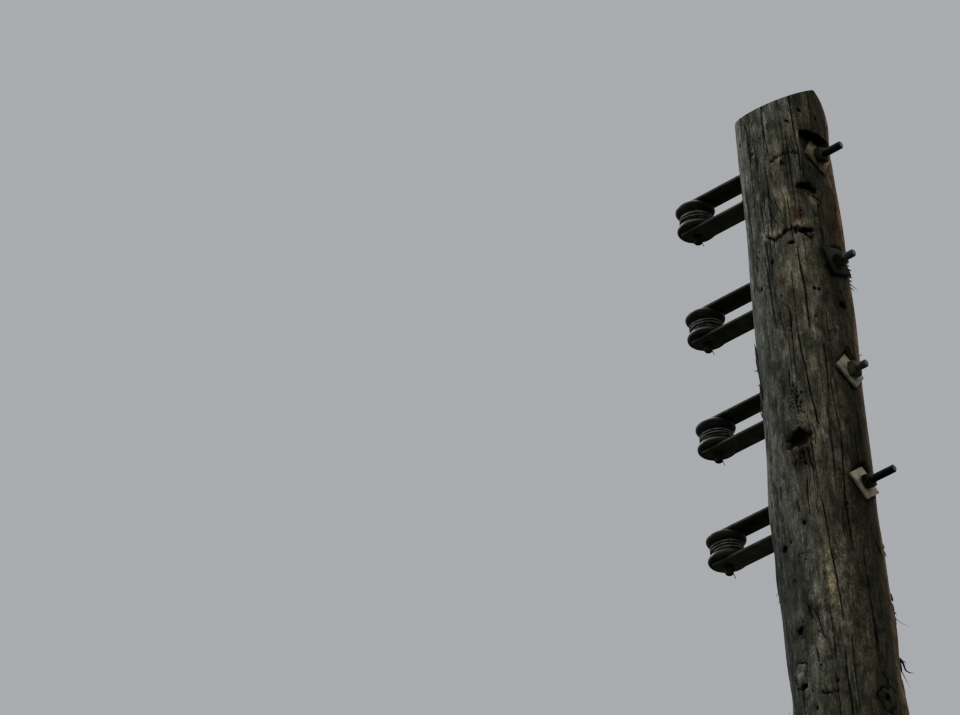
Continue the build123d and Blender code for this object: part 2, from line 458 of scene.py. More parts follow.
def wornMetal(name, look, shade=1.0):  # clean metal, dirt over it, rust in spots and fine dust
    material, tree, shader, place = newMaterial(name)
    clean, dirt, rust = [tuple(value * shade for value in look[part]) for part in ("clean", "dirt", "rust")]
    scale, rusty = look["scale"], look["rusty"]
    grime = mottle(tree, place, scale, 0.38, 0.62)
    spots = mottle(tree, place, scale * 1.9, 0.66 - rusty * 0.3, 0.78 - rusty * 0.25)
    fine = mottle(tree, place, scale * 9, 0.3, 0.7)
    colour = mixNode(tree, grime['Mask'], clean, dirt)
    colour = mixNode(tree, times(tree, spots['Mask'], 0.8), colour, rust)
    colour = mixNode(tree, 0.6, colour, rampNode(tree, fine['Height'], dustShades), 'MULTIPLY')
    rough = mathNode(tree, 'ADD', look["rough"], times(tree, spots['Mask'], 0.2), clamp=True)
    shine = times(tree, mathNode(tree, 'SUBTRACT', 1.0, spots['Mask']), look["metal"])
    tree.links.new(shine, shader.inputs['Metallic'])
    height = addUp(tree, (grime['Height'], 0.6), (fine['Height'], 0.3))
    dress(tree, shader, colour, rough, look["gloss"], height, 0.6, 0.0012)
    return material


porcelainLook = {
    "clean": (0.018, 0.0175, 0.016),
    "dusty": (0.04, 0.04, 0.035),
    "fleck": (0.06, 0.058, 0.05),
    "coat": 0.05,
}


def glazedPorcelain():
    material, tree, shader, place = newMaterial("glazedPorcelain")
    look = porcelainLook
    dust = mottle(tree, place, 34.0, 0.42, 0.66)
    fine = mottle(tree, place, 260.0, 0.35, 0.65)
    colour = mixNode(tree, dust['Mask'], look["clean"], look["dusty"])
    colour = mixNode(tree, times(tree, fine['Mask'], 0.25), colour, look["fleck"])
    rough = mathNode(tree, 'ADD', 0.42, times(tree, dust['Mask'], 0.35))
    shader.inputs['Coat Weight'].default_value = look["coat"]
    dress(tree, shader, colour, rough, 0.5, dust['Height'], 0.15, 0.0008)
    return material


metalLook = {
    "strap": {"clean": (0.08, 0.092, 0.062), "dirt": (0.047, 0.052, 0.035), "rust": (0.075, 0.036, 0.02),
              "rusty": 0.3, "rough": 0.7, "metal": 0.1, "scale": 38.0, "gloss": 0.3},
    "nut": {"clean": (0.11, 0.118, 0.068), "dirt": (0.05, 0.054, 0.03), "rust": (0.07, 0.04, 0.022),
            "rusty": 0.25, "rough": 0.75, "metal": 0.0, "scale": 70.0, "gloss": 0.2},
    "bolt": {"clean": (0.13, 0.13, 0.125), "dirt": (0.065, 0.063, 0.06), "rust": (0.09, 0.05, 0.032),
             "rusty": 0.25, "rough": 0.6, "metal": 0.2, "scale": 80.0, "gloss": 0.3},
    "boltEnd": {"clean": (0.27, 0.25, 0.25), "dirt": (0.15, 0.135, 0.13), "rust": (0.12, 0.07, 0.05),
                "rusty": 0.2, "rough": 0.6, "metal": 0.2, "scale": 90.0, "gloss": 0.3},
    "pin": {"clean": (0.05, 0.05, 0.042), "dirt": (0.025, 0.025, 0.02), "rust": (0.04, 0.022, 0.014),
            "rusty": 0.35, "rough": 0.7, "metal": 0.1, "scale": 70.0, "gloss": 0.2},
    "tie": {"clean": (0.27, 0.265, 0.24), "dirt": (0.12, 0.118, 0.1), "rust": (0.09, 0.075, 0.055),
            "rusty": 0.2, "rough": 0.55, "metal": 0.2, "scale": 90.0, "gloss": 0.3},
}
# The washers have weathered apart from each other: brown, dark, pale green and palest
washerLook = (
    {"clean": (0.24, 0.205, 0.115), "dirt": (0.065, 0.055, 0.03), "rust": (0.09, 0.05, 0.025),
     "rusty": 0.4, "rough": 0.75, "metal": 0.0, "scale": 42.0, "gloss": 0.15},
    {"clean": (0.045, 0.055, 0.04), "dirt": (0.022, 0.027, 0.018), "rust": (0.04, 0.03, 0.018),
     "rusty": 0.2, "rough": 0.8, "metal": 0.0, "scale": 45.0, "gloss": 0.1},
    {"clean": (0.33, 0.335, 0.235), "dirt": (0.19, 0.195, 0.13), "rust": (0.10, 0.075, 0.045),
     "rusty": 0.15, "rough": 0.7, "metal": 0.05, "scale": 50.0, "gloss": 0.3},
    {"clean": (0.47, 0.43, 0.30), "dirt": (0.28, 0.25, 0.17), "rust": (0.14, 0.10, 0.06),
     "rusty": 0.15, "rough": 0.7, "metal": 0.05, "scale": 50.0, "gloss": 0.3},
)
nutShades = (0.55, 0.45, 0.95, 0.3)
boltShades = (0.28, 1.2, 1.1, 0.22)

wood = weatheredWood()
woodEnd = endGrain()
tornWood = splinterWood()
strapMetal = wornMetal("wornStrap", metalLook["strap"])
nutMetals = [wornMetal(f"dullNut{row}", metalLook["nut"], shade) for row, shade in zip(rows, nutShades)]
boltMetals = [wornMetal(f"boltSteel{row}", metalLook["bolt"], shade) for row, shade in zip(rows, boltShades)]
boltEndMetal = wornMetal("sawnBoltEnd", metalLook["boltEnd"])
pinMetal = wornMetal("agedPin", metalLook["pin"])
wireMetal = wornMetal("tieWireGrey", metalLook["tie"])
washerMetals = [wornMetal(f"washerZinc{row}", look) for row, look in zip(rows, washerLook)]
porcelain = glazedPorcelain()
print("materials are ready")


# Square washers, which also shape their seats in the wood
washer = {
    "side": 0.06,
    "thickness": 0.005,
    "hole": 0.009,
    "turns": (56.0, 19.0, 47.0, 37.0),
    "leans": (10.0, 7.5, 12.0, 9.5),
    "edgeRound": 0.0008,
}
# Where the fittings sit, read from the frame
poleTop = highCorner("pole").z
footRadius = highCorner("pole").y
rowHeight = [middle(f"through_bolt_{row}").z for row in rows]
strapSeat = [highCorner(f"bracket_strap_{row}").x for row in rows]
leanRise = [math.tan(math.radians(lean)) for lean in washer["leans"]]
washerSeat = [middle(f"square_washer_{row}").x - washer["thickness"] / 2 / math.cos(math.radians(lean))
              for row, lean in zip(rows, washer["leans"])]

# Trunk. Angles are in degrees from +X, turning towards +Y; depths are metres below the top
trunk = {
    "columns": 360,
    "crowding": 0.34,
    "crowdedAngle": -51.0,
    "topRadius": 0.0885,
    "shoulderRadius": 0.1095,
    "shoulderDepth": 1.7,
    "pieceLength": 0.73,
    "pieceRings": 225,
    "shaftColumns": 300,
    "shaftRings": 300,
    "capRings": 10,
    "longSlope": 28.0,
    "steepSlope": 38.0,
    "topWear": 0.002,
    "ridgeWear": 0.004,
    "swell": 0.0009,
    "ridge": 0.0004,
    "fibre": 0.0003,
    "pit": 0.00025,
    "notchRow": 0,
    "notchReach": 0.045,
    "notchWall": -0.048,
    "seatMargin": 0.0008,
    "seatWall": 1.4,
    "seatReach": 0.06,
    "washerReach": 0.2,
    # painted shadow and dirt round each washer: how far it reaches, and its strength below and above
    "shadeAndDirtReach": 0.0045,
    "shadeAndDirtBelow": 0.75,
    "shadeAndDirtAbove": 0.35,
    "strapFlatReach": 0.0406,
    "sawnEdge": 0.0002,
    "capShare": 0.94,
    "capCrackDepth": 0.012,
}

# Drying cracks down the trunk: width and depth of the cut, then angle and depth below the top at each bend
cracks = (
    (0.002, 0.006, ((-77, 0.0), (-77, 0.06), (-78, 0.085), (-77, 0.123), (-75, 0.157), (-73, 0.18))),
    (0.0026, 0.009, ((-41, 0.0), (-40, 0.045), (-39, 0.103), (-38, 0.134), (-36, 0.167), (-36, 0.19),
                     (-37, 0.225))),
    (0.0022, 0.006, ((-14, 0.0), (-13, 0.03), (-12, 0.09), (-11, 0.112))),
    (0.0042, 0.003, ((-107, 0.066), (-103, 0.096), (-102, 0.132), (-101, 0.172))),
    (0.0014, 0.003, ((-95, 0.1), (-92, 0.15), (-91, 0.2))),
    (0.0014, 0.004, ((-118, 0.2), (-113, 0.3), (-112, 0.38))),
    (0.003, 0.003, ((-33, 0.112), (-32, 0.16), (-33, 0.235))),
    (0.0022, 0.003, ((-80, 0.232), (-82, 0.28), (-77, 0.311), (-69, 0.339))),
    (0.0018, 0.0025, ((-76, 0.25), (-72, 0.279), (-66, 0.308), (-64, 0.334))),
    (0.0024, 0.004, ((-93, 0.26), (-92, 0.3), (-90, 0.345))),
    (0.0026, 0.006, ((-19, 0.27), (-19, 0.31), (-18, 0.35), (-17, 0.385))),
    (0.0028, 0.01, ((-51, 0.376), (-51, 0.415), (-50, 0.454), (-48, 0.493), (-48, 0.585))),
    (0.006, 0.002, ((-90, 0.352), (-89, 0.395), (-89, 0.437))),
    (0.0026, 0.005, ((-95, 0.384), (-93, 0.42), (-91, 0.479), (-90, 0.52), (-87, 0.565))),
    (0.003, 0.009, ((-62, 0.577), (-61, 0.623), (-58, 0.669), (-56, 0.715), (-55, 0.738), (-52, 0.779),
                    (-48, 0.806))),
    (0.0024, 0.008, ((-34, 0.605), (-34, 0.682), (-35, 0.724))),
    (0.0028, 0.011, ((-31, 0.67), (-30, 0.749), (-28, 0.782), (-26, 0.815), (-28, 0.86), (-31, 0.961),
                     (-30, 1.066))),
    (0.0018, 0.004, ((-116, 0.87), (-114, 0.92), (-109, 0.99))),
    (0.0026, 0.005, ((-85, 0.945), (-83, 0.974))),
    (0.0034, 0.004, ((-86, 0.83), (-83, 0.85), (-81, 0.876))),
    (0.0028, 0.004, ((-66, 0.836), (-65, 0.862), (-62, 0.895))),
    (0.004, 0.004, ((-75, 0.84), (-76, 0.864))),
    (0.003, 0.004, ((-71, 0.838), (-70, 0.876))),
    (0.002, 0.002, ((-92, 0.79), (-89, 0.815), (-89, 0.835))),
    (0.002, 0.002, ((-59, 0.785), (-56, 0.812), (-57, 0.84))),
    (0.0024, 0.003, ((-78, 0.512), (-81, 0.535), (-79, 0.562), (-75, 0.578))),
    (0.0024, 0.003, ((-77, 0.507), (-70, 0.522), (-67, 0.545), (-69, 0.568))),
    (0.003, 0.003, ((-78, 0.655), (-79, 0.69), (-77, 0.72))),
    (0.0035, 0.003, ((-72, 0.7), (-74, 0.735), (-71, 0.765))),
    (0.0026, 0.003, ((-70, 0.9), (-72, 0.94), (-71, 0.99))),
    (0.0028, 0.009, ((-57, 0.95), (-55, 1.004), (-54, 1.059), (-52, 1.092), (-50, 1.136), (-49, 1.191),
                     (-48, 1.23))),
    (0.0028, 0.009, ((-18, 1.06), (-17, 1.092), (-16, 1.174), (-14, 1.302), (-14, 1.34))),
    (0.003, 0.01, ((-51, 1.275), (-52, 1.34), (-51, 1.423), (-50, 1.62))),
    (0.0028, 0.005, ((-84, 1.175), (-81, 1.208))),
    (0.003, 0.006, ((-79, 1.18), (-75, 1.203), (-72, 1.241), (-69, 1.262))),
    (0.0028, 0.006, ((-81, 1.27), (-80, 1.3))),
    (0.0036, 0.006, ((-102, 1.335), (-104, 1.372), (-103, 1.4))),
    (0.0032, 0.01, ((62, 0.0), (64, 0.4), (60, 0.95), (63, 1.9))),
    (0.003, 0.009, ((118, 0.0), (116, 0.3), (121, 0.75))),
    (0.003, 0.009, ((150, 0.05), (148, 0.5), (152, 1.2), (150, 2.1))),
    (0.0028, 0.008, ((-155, 0.02), (-157, 0.55), (-152, 1.15))),
    (0.0034, 0.011, ((95, 0.5), (92, 1.2), (97, 2.6))),
    (0.004, 0.012, ((-160, 1.3), (-157, 2.5), (-162, 4.0))),
    (0.0034, 0.01, ((30, 1.35), (33, 1.9), (29, 3.0))),
)
# Breaks across the grain, given the same way; the two that run just under the torn edges near 0.35 m down
# darken mostly as painted shadow below the proud layer
breaks = (
    (0.0024, 0.004, ((-72, 0.184), (-65, 0.175), (-56, 0.17), (-47, 0.167), (-36, 0.169))),
    (0.0012, 0.001, ((-52, 0.15), (-40, 0.148))),
    (0.0012, 0.001, ((-50, 0.158), (-39, 0.157))),
    (0.0016, 0.003, ((-46, 0.247), (-36, 0.259), (-25, 0.266), (-12, 0.281))),
    (0.003, 0.004, ((-112, 1.333), (-104, 1.34), (-96, 1.328))),
    # painted shadow under the torn edges above
    (0.0036, 0.004, ((-88, 0.35), (-77, 0.362), (-67, 0.356), (-63, 0.342))),
    (0.0026, 0.004, ((-63, 0.349), (-54, 0.344), (-47, 0.343), (-44, 0.355), (-32, 0.369))),
    (0.0014, 0.001, ((-103, 0.437), (-94, 0.436))),
    (0.002, 0.003, ((-114, 0.44), (-109, 0.46))),
    (0.0044, 0.006, ((5, 1.037), (11, 1.051), (18, 1.059))),
    (0.0018, 0.002, ((-91, 1.066), (-83, 1.06), (-75, 1.066))),
    (0.0036, 0.005, ((-80, 1.364), (-71, 1.371), (-63, 1.369))),
    (0.0024, 0.004, ((-12, 1.327), (-4, 1.35), (6, 1.364))),
)
# Edges where an outer layer has torn off below: how proud the layer above stands, how far up that fades,
# and the line of the edge
tornEdges = (
    (0.0032, 0.05, ((-90, 0.345), (-83, 0.355), (-77, 0.36), (-67, 0.354), (-62, 0.338))),
    (0.0022, 0.04, ((-62, 0.346), (-54, 0.342), (-46, 0.341), (-40, 0.357), (-30, 0.368))),
    (0.001, 0.03, ((-72, 0.181), (-56, 0.168), (-36, 0.167))),
)
# Knots and holes: angle, depth below the top, half width and half height, and what kind each is
knots = (
    (-29, 0.066, 0.0055, 0.005, "hole"),
    (-47, 0.093, 0.0045, 0.004, "hole"),
    (-59, 0.19, 0.003, 0.009, "hole"),
    (-57, 0.205, 0.007, 0.012, "ring"),
    (-33, 0.246, 0.018, 0.010, "hole"),
    (-24, 0.253, 0.011, 0.009, "hole"),
    (-38, 0.35, 0.017, 0.007, "hole"),
    (-58, 0.376, 0.008, 0.005, "hole"),
    (-44, 0.312, 0.012, 0.010, "rough"),
    (-107, 0.395, 0.006, 0.015, "ring"),
    (-104, 0.455, 0.004, 0.006, "hole"),
    (-72, 0.572, 0.008, 0.007, "rough"),
    (0, 0.487, 0.016, 0.02, "rough"),
    (2, 0.507, 0.014, 0.009, "hole"),
    (-17, 0.43, 0.006, 0.006, "hole"),
    (-20, 0.56, 0.01, 0.012, "rough"),
    (-73, 0.732, 0.02, 0.018, "rough"),
    (-75, 0.815, 0.027, 0.021, "hole"),
    (-74, 0.858, 0.021, 0.024, "rough"),
    (-70, 0.745, 0.013, 0.02, "rough"),
    (-77, 0.705, 0.010, 0.014, "rough"),
    (-87, 0.822, 0.009, 0.012, "rough"),
    (-79, 0.998, 0.005, 0.006, "hole"),
    (-110, 1.031, 0.006, 0.008, "hole"),
    (-83, 1.075, 0.011, 0.009, "rough"),
    (-99, 1.221, 0.009, 0.009, "hole"),
    (-95, 1.212, 0.012, 0.012, "rough"),
    (-101, 1.336, 0.011, 0.008, "hole"),
    (-98, 1.225, 0.017, 0.013, "rough"),
    (-110, 1.033, 0.009, 0.009, "hole"),
    (-104, 1.305, 0.021, 0.021, "ring"),
    (-62, 1.348, 0.004, 0.005, "hole"),
    (-11, 1.385, 0.02, 0.026, "ring"),
    (-10, 1.38, 0.007, 0.009, "hole"),
    (75, 0.32, 0.014, 0.02, "ring"),
    (128, 0.78, 0.016, 0.024, "ring"),
    (-170, 1.18, 0.015, 0.022, "ring"),
    (40, 1.32, 0.016, 0.022, "ring"),
)

# Swells and hollows: angle, depth, half width in degrees, half height, and how proud at the middle
outlineSwells = (
    (39, 0.06, 22, 0.03, 0.003),
    (36, 0.30, 24, 0.10, 0.0045),
    (36, 0.50, 24, 0.12, 0.0055),
    (39, 0.95, 20, 0.06, -0.003),
    (39, 1.20, 20, 0.05, 0.004),
    (39, 1.38, 22, 0.05, 0.006),
    (-141, 0.185, 22, 0.03, -0.0022),
    (-141, 0.28, 22, 0.08, -0.003),
    (-141, 0.655, 22, 0.028, -0.0045),
    (-141, 0.92, 25, 0.09, 0.0062),
    (-141, 1.07, 22, 0.05, 0.004),
    (-141, 1.32, 22, 0.05, -0.004),
    (-75, 0.82, 24, 0.06, 0.002),
)

# Weathering and painted side light round the trunk: colour multiplier at each angle. The bluish left edge,
# the much darker right side and the bright reddish rim at 34 degrees are partly painted light and shade,
# partly the wood's own tone
sideTints = (
    (-141, (0.72, 0.8, 0.9)),
    (-118, (0.74, 0.8, 0.84)),
    (-95, (0.8, 0.83, 0.82)),
    (-70, (1.0, 1.0, 0.95)),
    (-45, (1.0, 1.0, 0.9)),
    (-25, (0.6, 0.58, 0.48)),
    (0, (0.3, 0.3, 0.205)),
    (14, (0.46, 0.38, 0.26)),
    (24, (1.4, 0.95, 0.75)),
    (34, (2.4, 1.5, 1.35)),
    (44, (1.2, 0.95, 0.85)),
    (70, (0.7, 0.6, 0.5)),
    (120, (0.9, 0.87, 0.8)),
    (180, (0.95, 0.98, 1.0)),
    (219, (0.72, 0.8, 0.9)),
)
# Patches: angle, depth, half width in degrees, half height in metres, colour multiplier at the middle; a few
# are painted shadow round washer 1 and its notch
patchTints = (
    (-38, 0.145, 2.5, 0.02, (1.7, 1.65, 1.5)),
    (-102, 0.12, 5, 0.06, (0.55, 0.55, 0.55)),
    (-62, 0.07, 26, 0.06, (1.22, 1.26, 1.3)),
    (-57, 0.285, 12, 0.045, (1.65, 1.62, 1.45)),
    (-45, 0.315, 9, 0.02, (0.45, 0.3, 0.24)),
    (-48, 0.33, 10, 0.012, (1.5, 1.35, 1.3)),
    (6, 0.3, 14, 0.06, (1.9, 1.5, 1.0)),
    # painted shadow: the dark round and below washer 1, the thin band under the notch's ledge, and the shade
    # in the recess below
    (-22, 0.15, 9, 0.035, (0.35, 0.33, 0.28)),
    (-10, 0.113, 22, 0.006, (0.3, 0.3, 0.28)),
    (-27, 0.185, 8, 0.02, (0.42, 0.42, 0.4)),
    (-12, 0.207, 10, 0.016, (0.35, 0.35, 0.33)),
    (-31, 0.246, 13, 0.02, (0.6, 0.6, 0.58)),
    (-26, 0.279, 10, 0.006, (1.5, 1.45, 1.3)),
    (-138, 0.645, 8, 0.075, (0.18, 0.21, 0.25)),
    (-76, 0.815, 20, 0.03, (0.55, 0.53, 0.5)),
    (-75, 0.865, 10, 0.016, (0.6, 0.57, 0.53)),
    (-79, 0.866, 1.3, 0.012, (2.2, 2.1, 2.0)),
    (-73, 0.87, 1.2, 0.013, (2.3, 2.2, 2.1)),
    (-68, 0.862, 1.2, 0.012, (2.0, 1.9, 1.8)),
    (-20, 0.95, 18, 0.09, (0.62, 0.62, 0.5)),
    (-104, 1.303, 9, 0.02, (2.1, 1.95, 1.85)),
    (-96, 1.345, 5, 0.016, (1.7, 1.65, 1.6)),
    (-99, 1.221, 13, 0.022, (0.45, 0.45, 0.42)),
    (-82, 1.19, 9, 0.03, (0.6, 0.6, 0.57)),
    (-57, 1.14, 5, 0.03, (1.5, 1.3, 1.2)),
    (-35, 1.2, 10, 0.1, (0.72, 0.7, 0.62)),
    (-130, 1.1, 14, 0.15, (0.7, 0.7, 0.7)),
    (-83, 1.073, 8, 0.016, (0.55, 0.55, 0.53)),
    (-110, 1.031, 6, 0.016, (0.5, 0.5, 0.48)),
    (-72, 0.545, 6, 0.026, (0.75, 0.66, 0.6)),
    (-90, 0.345, 3, 0.012, (1.6, 1.55, 1.45)),
    (-76, 0.349, 6, 0.008, (1.7, 1.6, 1.5)),
    (-47, 0.335, 5, 0.006, (1.6, 1.45, 1.4)),
    (-98, 1.12, 14, 0.05, (0.7, 0.7, 0.68)),
    (-118, 0.36, 10, 0.03, (0.65, 0.65, 0.63)),
    (-112, 0.63, 12, 0.03, (0.75, 0.75, 0.73)),
    (-60, 0.14, 8, 0.03, (1.2, 1.2, 1.1)),
    (-95, 0.17, 7, 0.04, (0.8, 0.8, 0.78)),
    (30, 0.27, 12, 0.04, (0.9, 0.85, 0.8)),
    # painted shadow below washer 1
    (-14, 0.225, 17, 0.03, (0.45, 0.47, 0.43)),
    (-75, 0.85, 15, 0.045, (0.62, 0.6, 0.55)),
    (-73, 0.732, 9, 0.02, (0.6, 0.58, 0.53)),
    (-125, 1.3, 28, 0.3, (0.42, 0.42, 0.42)),
    (-60, 1.35, 30, 0.2, (0.8, 0.8, 0.8)),
    (-60, 0.66, 24, 0.09, (0.85, 0.86, 0.84)),
    (-70, 0.21, 7, 0.04, (0.85, 0.82, 0.75)),
    (-70, 0.25, 6, 0.05, (1.3, 1.25, 1.1)),
    (-88, 0.45, 5, 0.05, (0.5, 0.52, 0.5)),
    (-66, 0.42, 12, 0.05, (1.4, 1.4, 1.3)),
    (-42, 0.45, 6, 0.05, (1.4, 1.35, 1.15)),
    (-8, 0.505, 11, 0.05, (0.42, 0.43, 0.38)),
    (-14, 0.43, 10, 0.03, (0.6, 0.6, 0.56)),
    (-75, 0.46, 6, 0.03, (0.75, 0.6, 0.55)),
    (-66, 0.5, 7, 0.02, (0.85, 0.68, 0.6)),
    (-30, 0.62, 22, 0.02, (0.75, 0.77, 0.72)),
    (-52, 0.67, 9, 0.07, (1.25, 1.25, 1.15)),
    (-84, 0.68, 6, 0.04, (0.6, 0.58, 0.55)),
    (-96, 0.69, 5, 0.05, (1.3, 1.3, 1.2)),
    (-6, 0.82, 14, 0.12, (0.5, 0.49, 0.44)),
    (-57, 0.815, 5, 0.035, (1.9, 1.85, 1.7)),
    (-64, 0.77, 6, 0.02, (1.4, 1.38, 1.3)),
    (-75, 0.78, 14, 0.02, (0.8, 0.8, 0.75)),
    (-10, 1.1, 20, 0.2, (0.66, 0.66, 0.63)),
    (-57, 1.03, 7, 0.12, (1.35, 1.33, 1.15)),
    (-40, 1.0, 6, 0.1, (0.75, 0.75, 0.7)),
    (-56, 1.2, 7, 0.06, (1.35, 1.33, 1.2)),
    (-90, 1.24, 9, 0.06, (0.7, 0.68, 0.65)),
    (-96, 1.37, 4, 0.03, (1.7, 1.7, 1.65)),
    (-70, 1.38, 14, 0.03, (0.8, 0.78, 0.72)),
    (-20, 1.38, 14, 0.05, (0.8, 0.78, 0.72)),
)


# More cracks and knots, scattered: how many, and the range of each measure
fineCracks = {
    "count": 70,
    "angles": (-150, 45),
    "tops": (0.02, 1.4),
    "widths": (0.0009, 0.002),
    "lengths": (0.05, 0.22),
    "leans": (-2, 2),
    "depthShare": 1.5,
}
otherCracks = {
    "count": 56,
    "angles": (50, 205),
    "tops": (0.02, 8.3),
    "leans": (-3, 3),
    "depthShares": (1.4, 2.8),
    "upperEnd": 1.5,
    "upper": {"lengths": (0.12, 0.5), "widths": (0.0018, 0.0028)},
    "lower": {"lengths": (0.3, 1.5), "widths": (0.003, 0.0045)},
}
pits = {
    "count": 44,
    "angles": (-150, 45),
    "levels": (0.03, 1.42),
    "sizes": (0.002, 0.0042),
    "heights": (1, 2),
}
lowKnots = {
    "count": 34,
    "angles": (-180, 180),
    "levels": (1.6, 8.4),
    "sizes": (0.012, 0.024),
    "heights": (1.0, 1.5),
    "kinds": ("ring", "ring", "hole"),
}


def scatterCracks():
    found = list(cracks)
    look = fineCracks  # on the side with the fittings
    for count in range(look["count"]):
        angle, top = random.uniform(*look["angles"]), random.uniform(*look["tops"])
        wide = random.uniform(*look["widths"])
        length, lean = random.uniform(*look["lengths"]), random.uniform(*look["leans"])
        found.append((wide, wide * look["depthShare"], ((angle, top), (angle + lean, top + length))))
    look = otherCracks  # behind, and all round the lower trunk
    for count in range(look["count"]):
        angle, top = random.uniform(*look["angles"]), random.uniform(*look["tops"])
        part = look["upper"]
        if top > look["upperEnd"]:
            part = look["lower"]
            angle = random.uniform(-180, 180)
        length = random.uniform(*part["lengths"])
        lean = random.uniform(*look["leans"])
        wide = random.uniform(*part["widths"])
        line = ((angle, top), (angle + lean * 0.3, top + length / 2), (angle + lean, top + length))
        found.append((wide, wide * random.uniform(*look["depthShares"]), line))
    return found


def scatterKnots():
    found = list(knots)
    look = pits
    for count in range(look["count"]):
        size = random.uniform(*look["sizes"])
        place = (random.uniform(*look["angles"]), random.uniform(*look["levels"]))
        found.append((*place, size, size * random.uniform(*look["heights"]), "hole"))
    look = lowKnots
    for count in range(look["count"]):
        level, size = random.uniform(*look["levels"]), random.uniform(*look["sizes"])
        kind = random.choice(look["kinds"])
        angle = random.uniform(*look["angles"])
        found.append((angle, level, size, size * random.uniform(*look["heights"]), kind))
    return found


allCracks = scatterCracks()
allKnots = scatterKnots()


def plainRadius(z):
    depth = poleTop - z
    top, shoulder, bend = trunk["topRadius"], trunk["shoulderRadius"], trunk["shoulderDepth"]
    if depth < bend:
        return top + (shoulder - top) * depth / bend
    return shoulder + (footRadius - shoulder) * (depth - bend) / (poleTop - bend)


def wobble(x, y, z):  # smooth noise from -1 to 1
    return noise.noise(Vector((x, y, z)))


def turnedBy(angle, centre):  # difference of two angles, in degrees
    return (angle - centre + 180) % 360 - 180


def between(line, place, key=0):  # the other value of a line of pairs, at this place
    for pairA, pairB in zip(line, line[1:]):
        if place <= pairB[key]:
            share = (place - pairA[key]) / max(pairB[key] - pairA[key], 1e-6)
            return pairA[1 - key] + (pairB[1 - key] - pairA[1 - key]) * min(max(share, 0), 1)
    return line[-1][1 - key]


def nearestTo(line, angle, depth, radius):  # distance to a line on the trunk
    gaps = []
    for (angleA, depthA), (angleB, depthB) in zip(line, line[1:]):
        start = (math.radians(turnedBy(angleA, angle)) * radius, depthA - depth)
        run = (math.radians(angleB - angleA) * radius, depthB - depthA)
        share = -(start[0] * run[0] + start[1] * run[1]) / (run[0] ** 2 + run[1] ** 2)
        share = min(max(share, 0), 1)
        gaps.append(math.hypot(start[0] + run[0] * share, start[1] + run[1] * share))
    return min(gaps)


def passes(line, depth, above, below):  # whether a line comes near this level
    levels = [level for angle, level in line]
    return min(levels) - above < depth < max(levels) + below


def ringAt(depth):  # what lies at this level, worked out once for the whole ring
    splits = []
    for wide, deep, line in allCracks:
        first, last = line[0][1], line[-1][1]
        if first <= depth <= last:
            share = (depth - first) / (last - first)
            ends = min(1.0, share * 7 + (1 if first < 0.001 else 0), (1 - share) * 7)  # narrower ends
            place = between(line, depth, 1) + wobble(first * 9, depth * 14, 5.0) * 1.1
            uneven = 0.85 + 0.5 * wobble(first * 5, depth * 40, 9.0)
            splits.append((place, wide * (0.45 + 0.55 * ends) * uneven, deep * ends, min(1.0, ends * 2)))
    return {
        "depth": depth,
        "radius": plainRadius(poleTop - depth),
        "splits": splits,
        "breaks": [row for row in breaks if passes(row[2], depth, 0.02, 0.02)],
        "edges": [row for row in tornEdges if passes(row[2], depth, row[1], 0.01)],
        "knots": [knot for knot in allKnots if abs(depth - knot[1]) < 5 * knot[3]],
        "patches": [patch for patch in patchTints if abs(depth - patch[1]) < 2.5 * patch[3]],
        "swells": [(angle, halfAngle, height * math.exp(-((depth - level) / halfDepth) ** 2))
                   for angle, level, halfAngle, halfDepth, height in outlineSwells
                   if abs(depth - level) < 2.5 * halfDepth],
    }


# colour multiplier here: weathered tone together with painted side light and painted shadow patches
def tintAt(angle, ring):
    first = sideTints[0][0]
    wrapped = (angle - first) % 360 + first
    for (angleA, tintA), (angleB, tintB) in zip(sideTints, sideTints[1:]):
        if wrapped <= angleB:
            share = (wrapped - angleA) / (angleB - angleA)
            tint = [a + (b - a) * share for a, b in zip(tintA, tintB)]
            break
    for centre, depth, halfAngle, halfDepth, multiplier in ring["patches"]:
        aside, down = turnedBy(angle, centre) / halfAngle, (ring["depth"] - depth) / halfDepth
        weight = math.exp(-aside ** 2 - down ** 2)
        if weight > 0.01:
            tint = [value * (1 + (change - 1) * weight) for value, change in zip(tint, multiplier)]
    return tint


# How cracks, knots and torn wood are cut, in metres or in shares of a knot's half width
carving = {
    "crackDepth": 0.006,
    "crackLip": 0.001,
    "breakLip": 0.0022,
    "darkening": 1.12,
    "wideJag": 0.005,
    "fineJag": 0.003,
    "knotReach": 6,
    "fibreSwing": 0.6,
    "holeDepth": 0.014,
    "holeShare": 0.6,
    "holeRim": 0.02,
    "ringBump": 0.1,
    "ringGroove": 0.14,
    "roughReach": 1.4,
    "roughShare": 0.3,
    "tornAngle": -70,
    "tornHalfAngle": 20,
    "tornLevel": 0.3,
    "tornHalfHeight": 0.05,
}
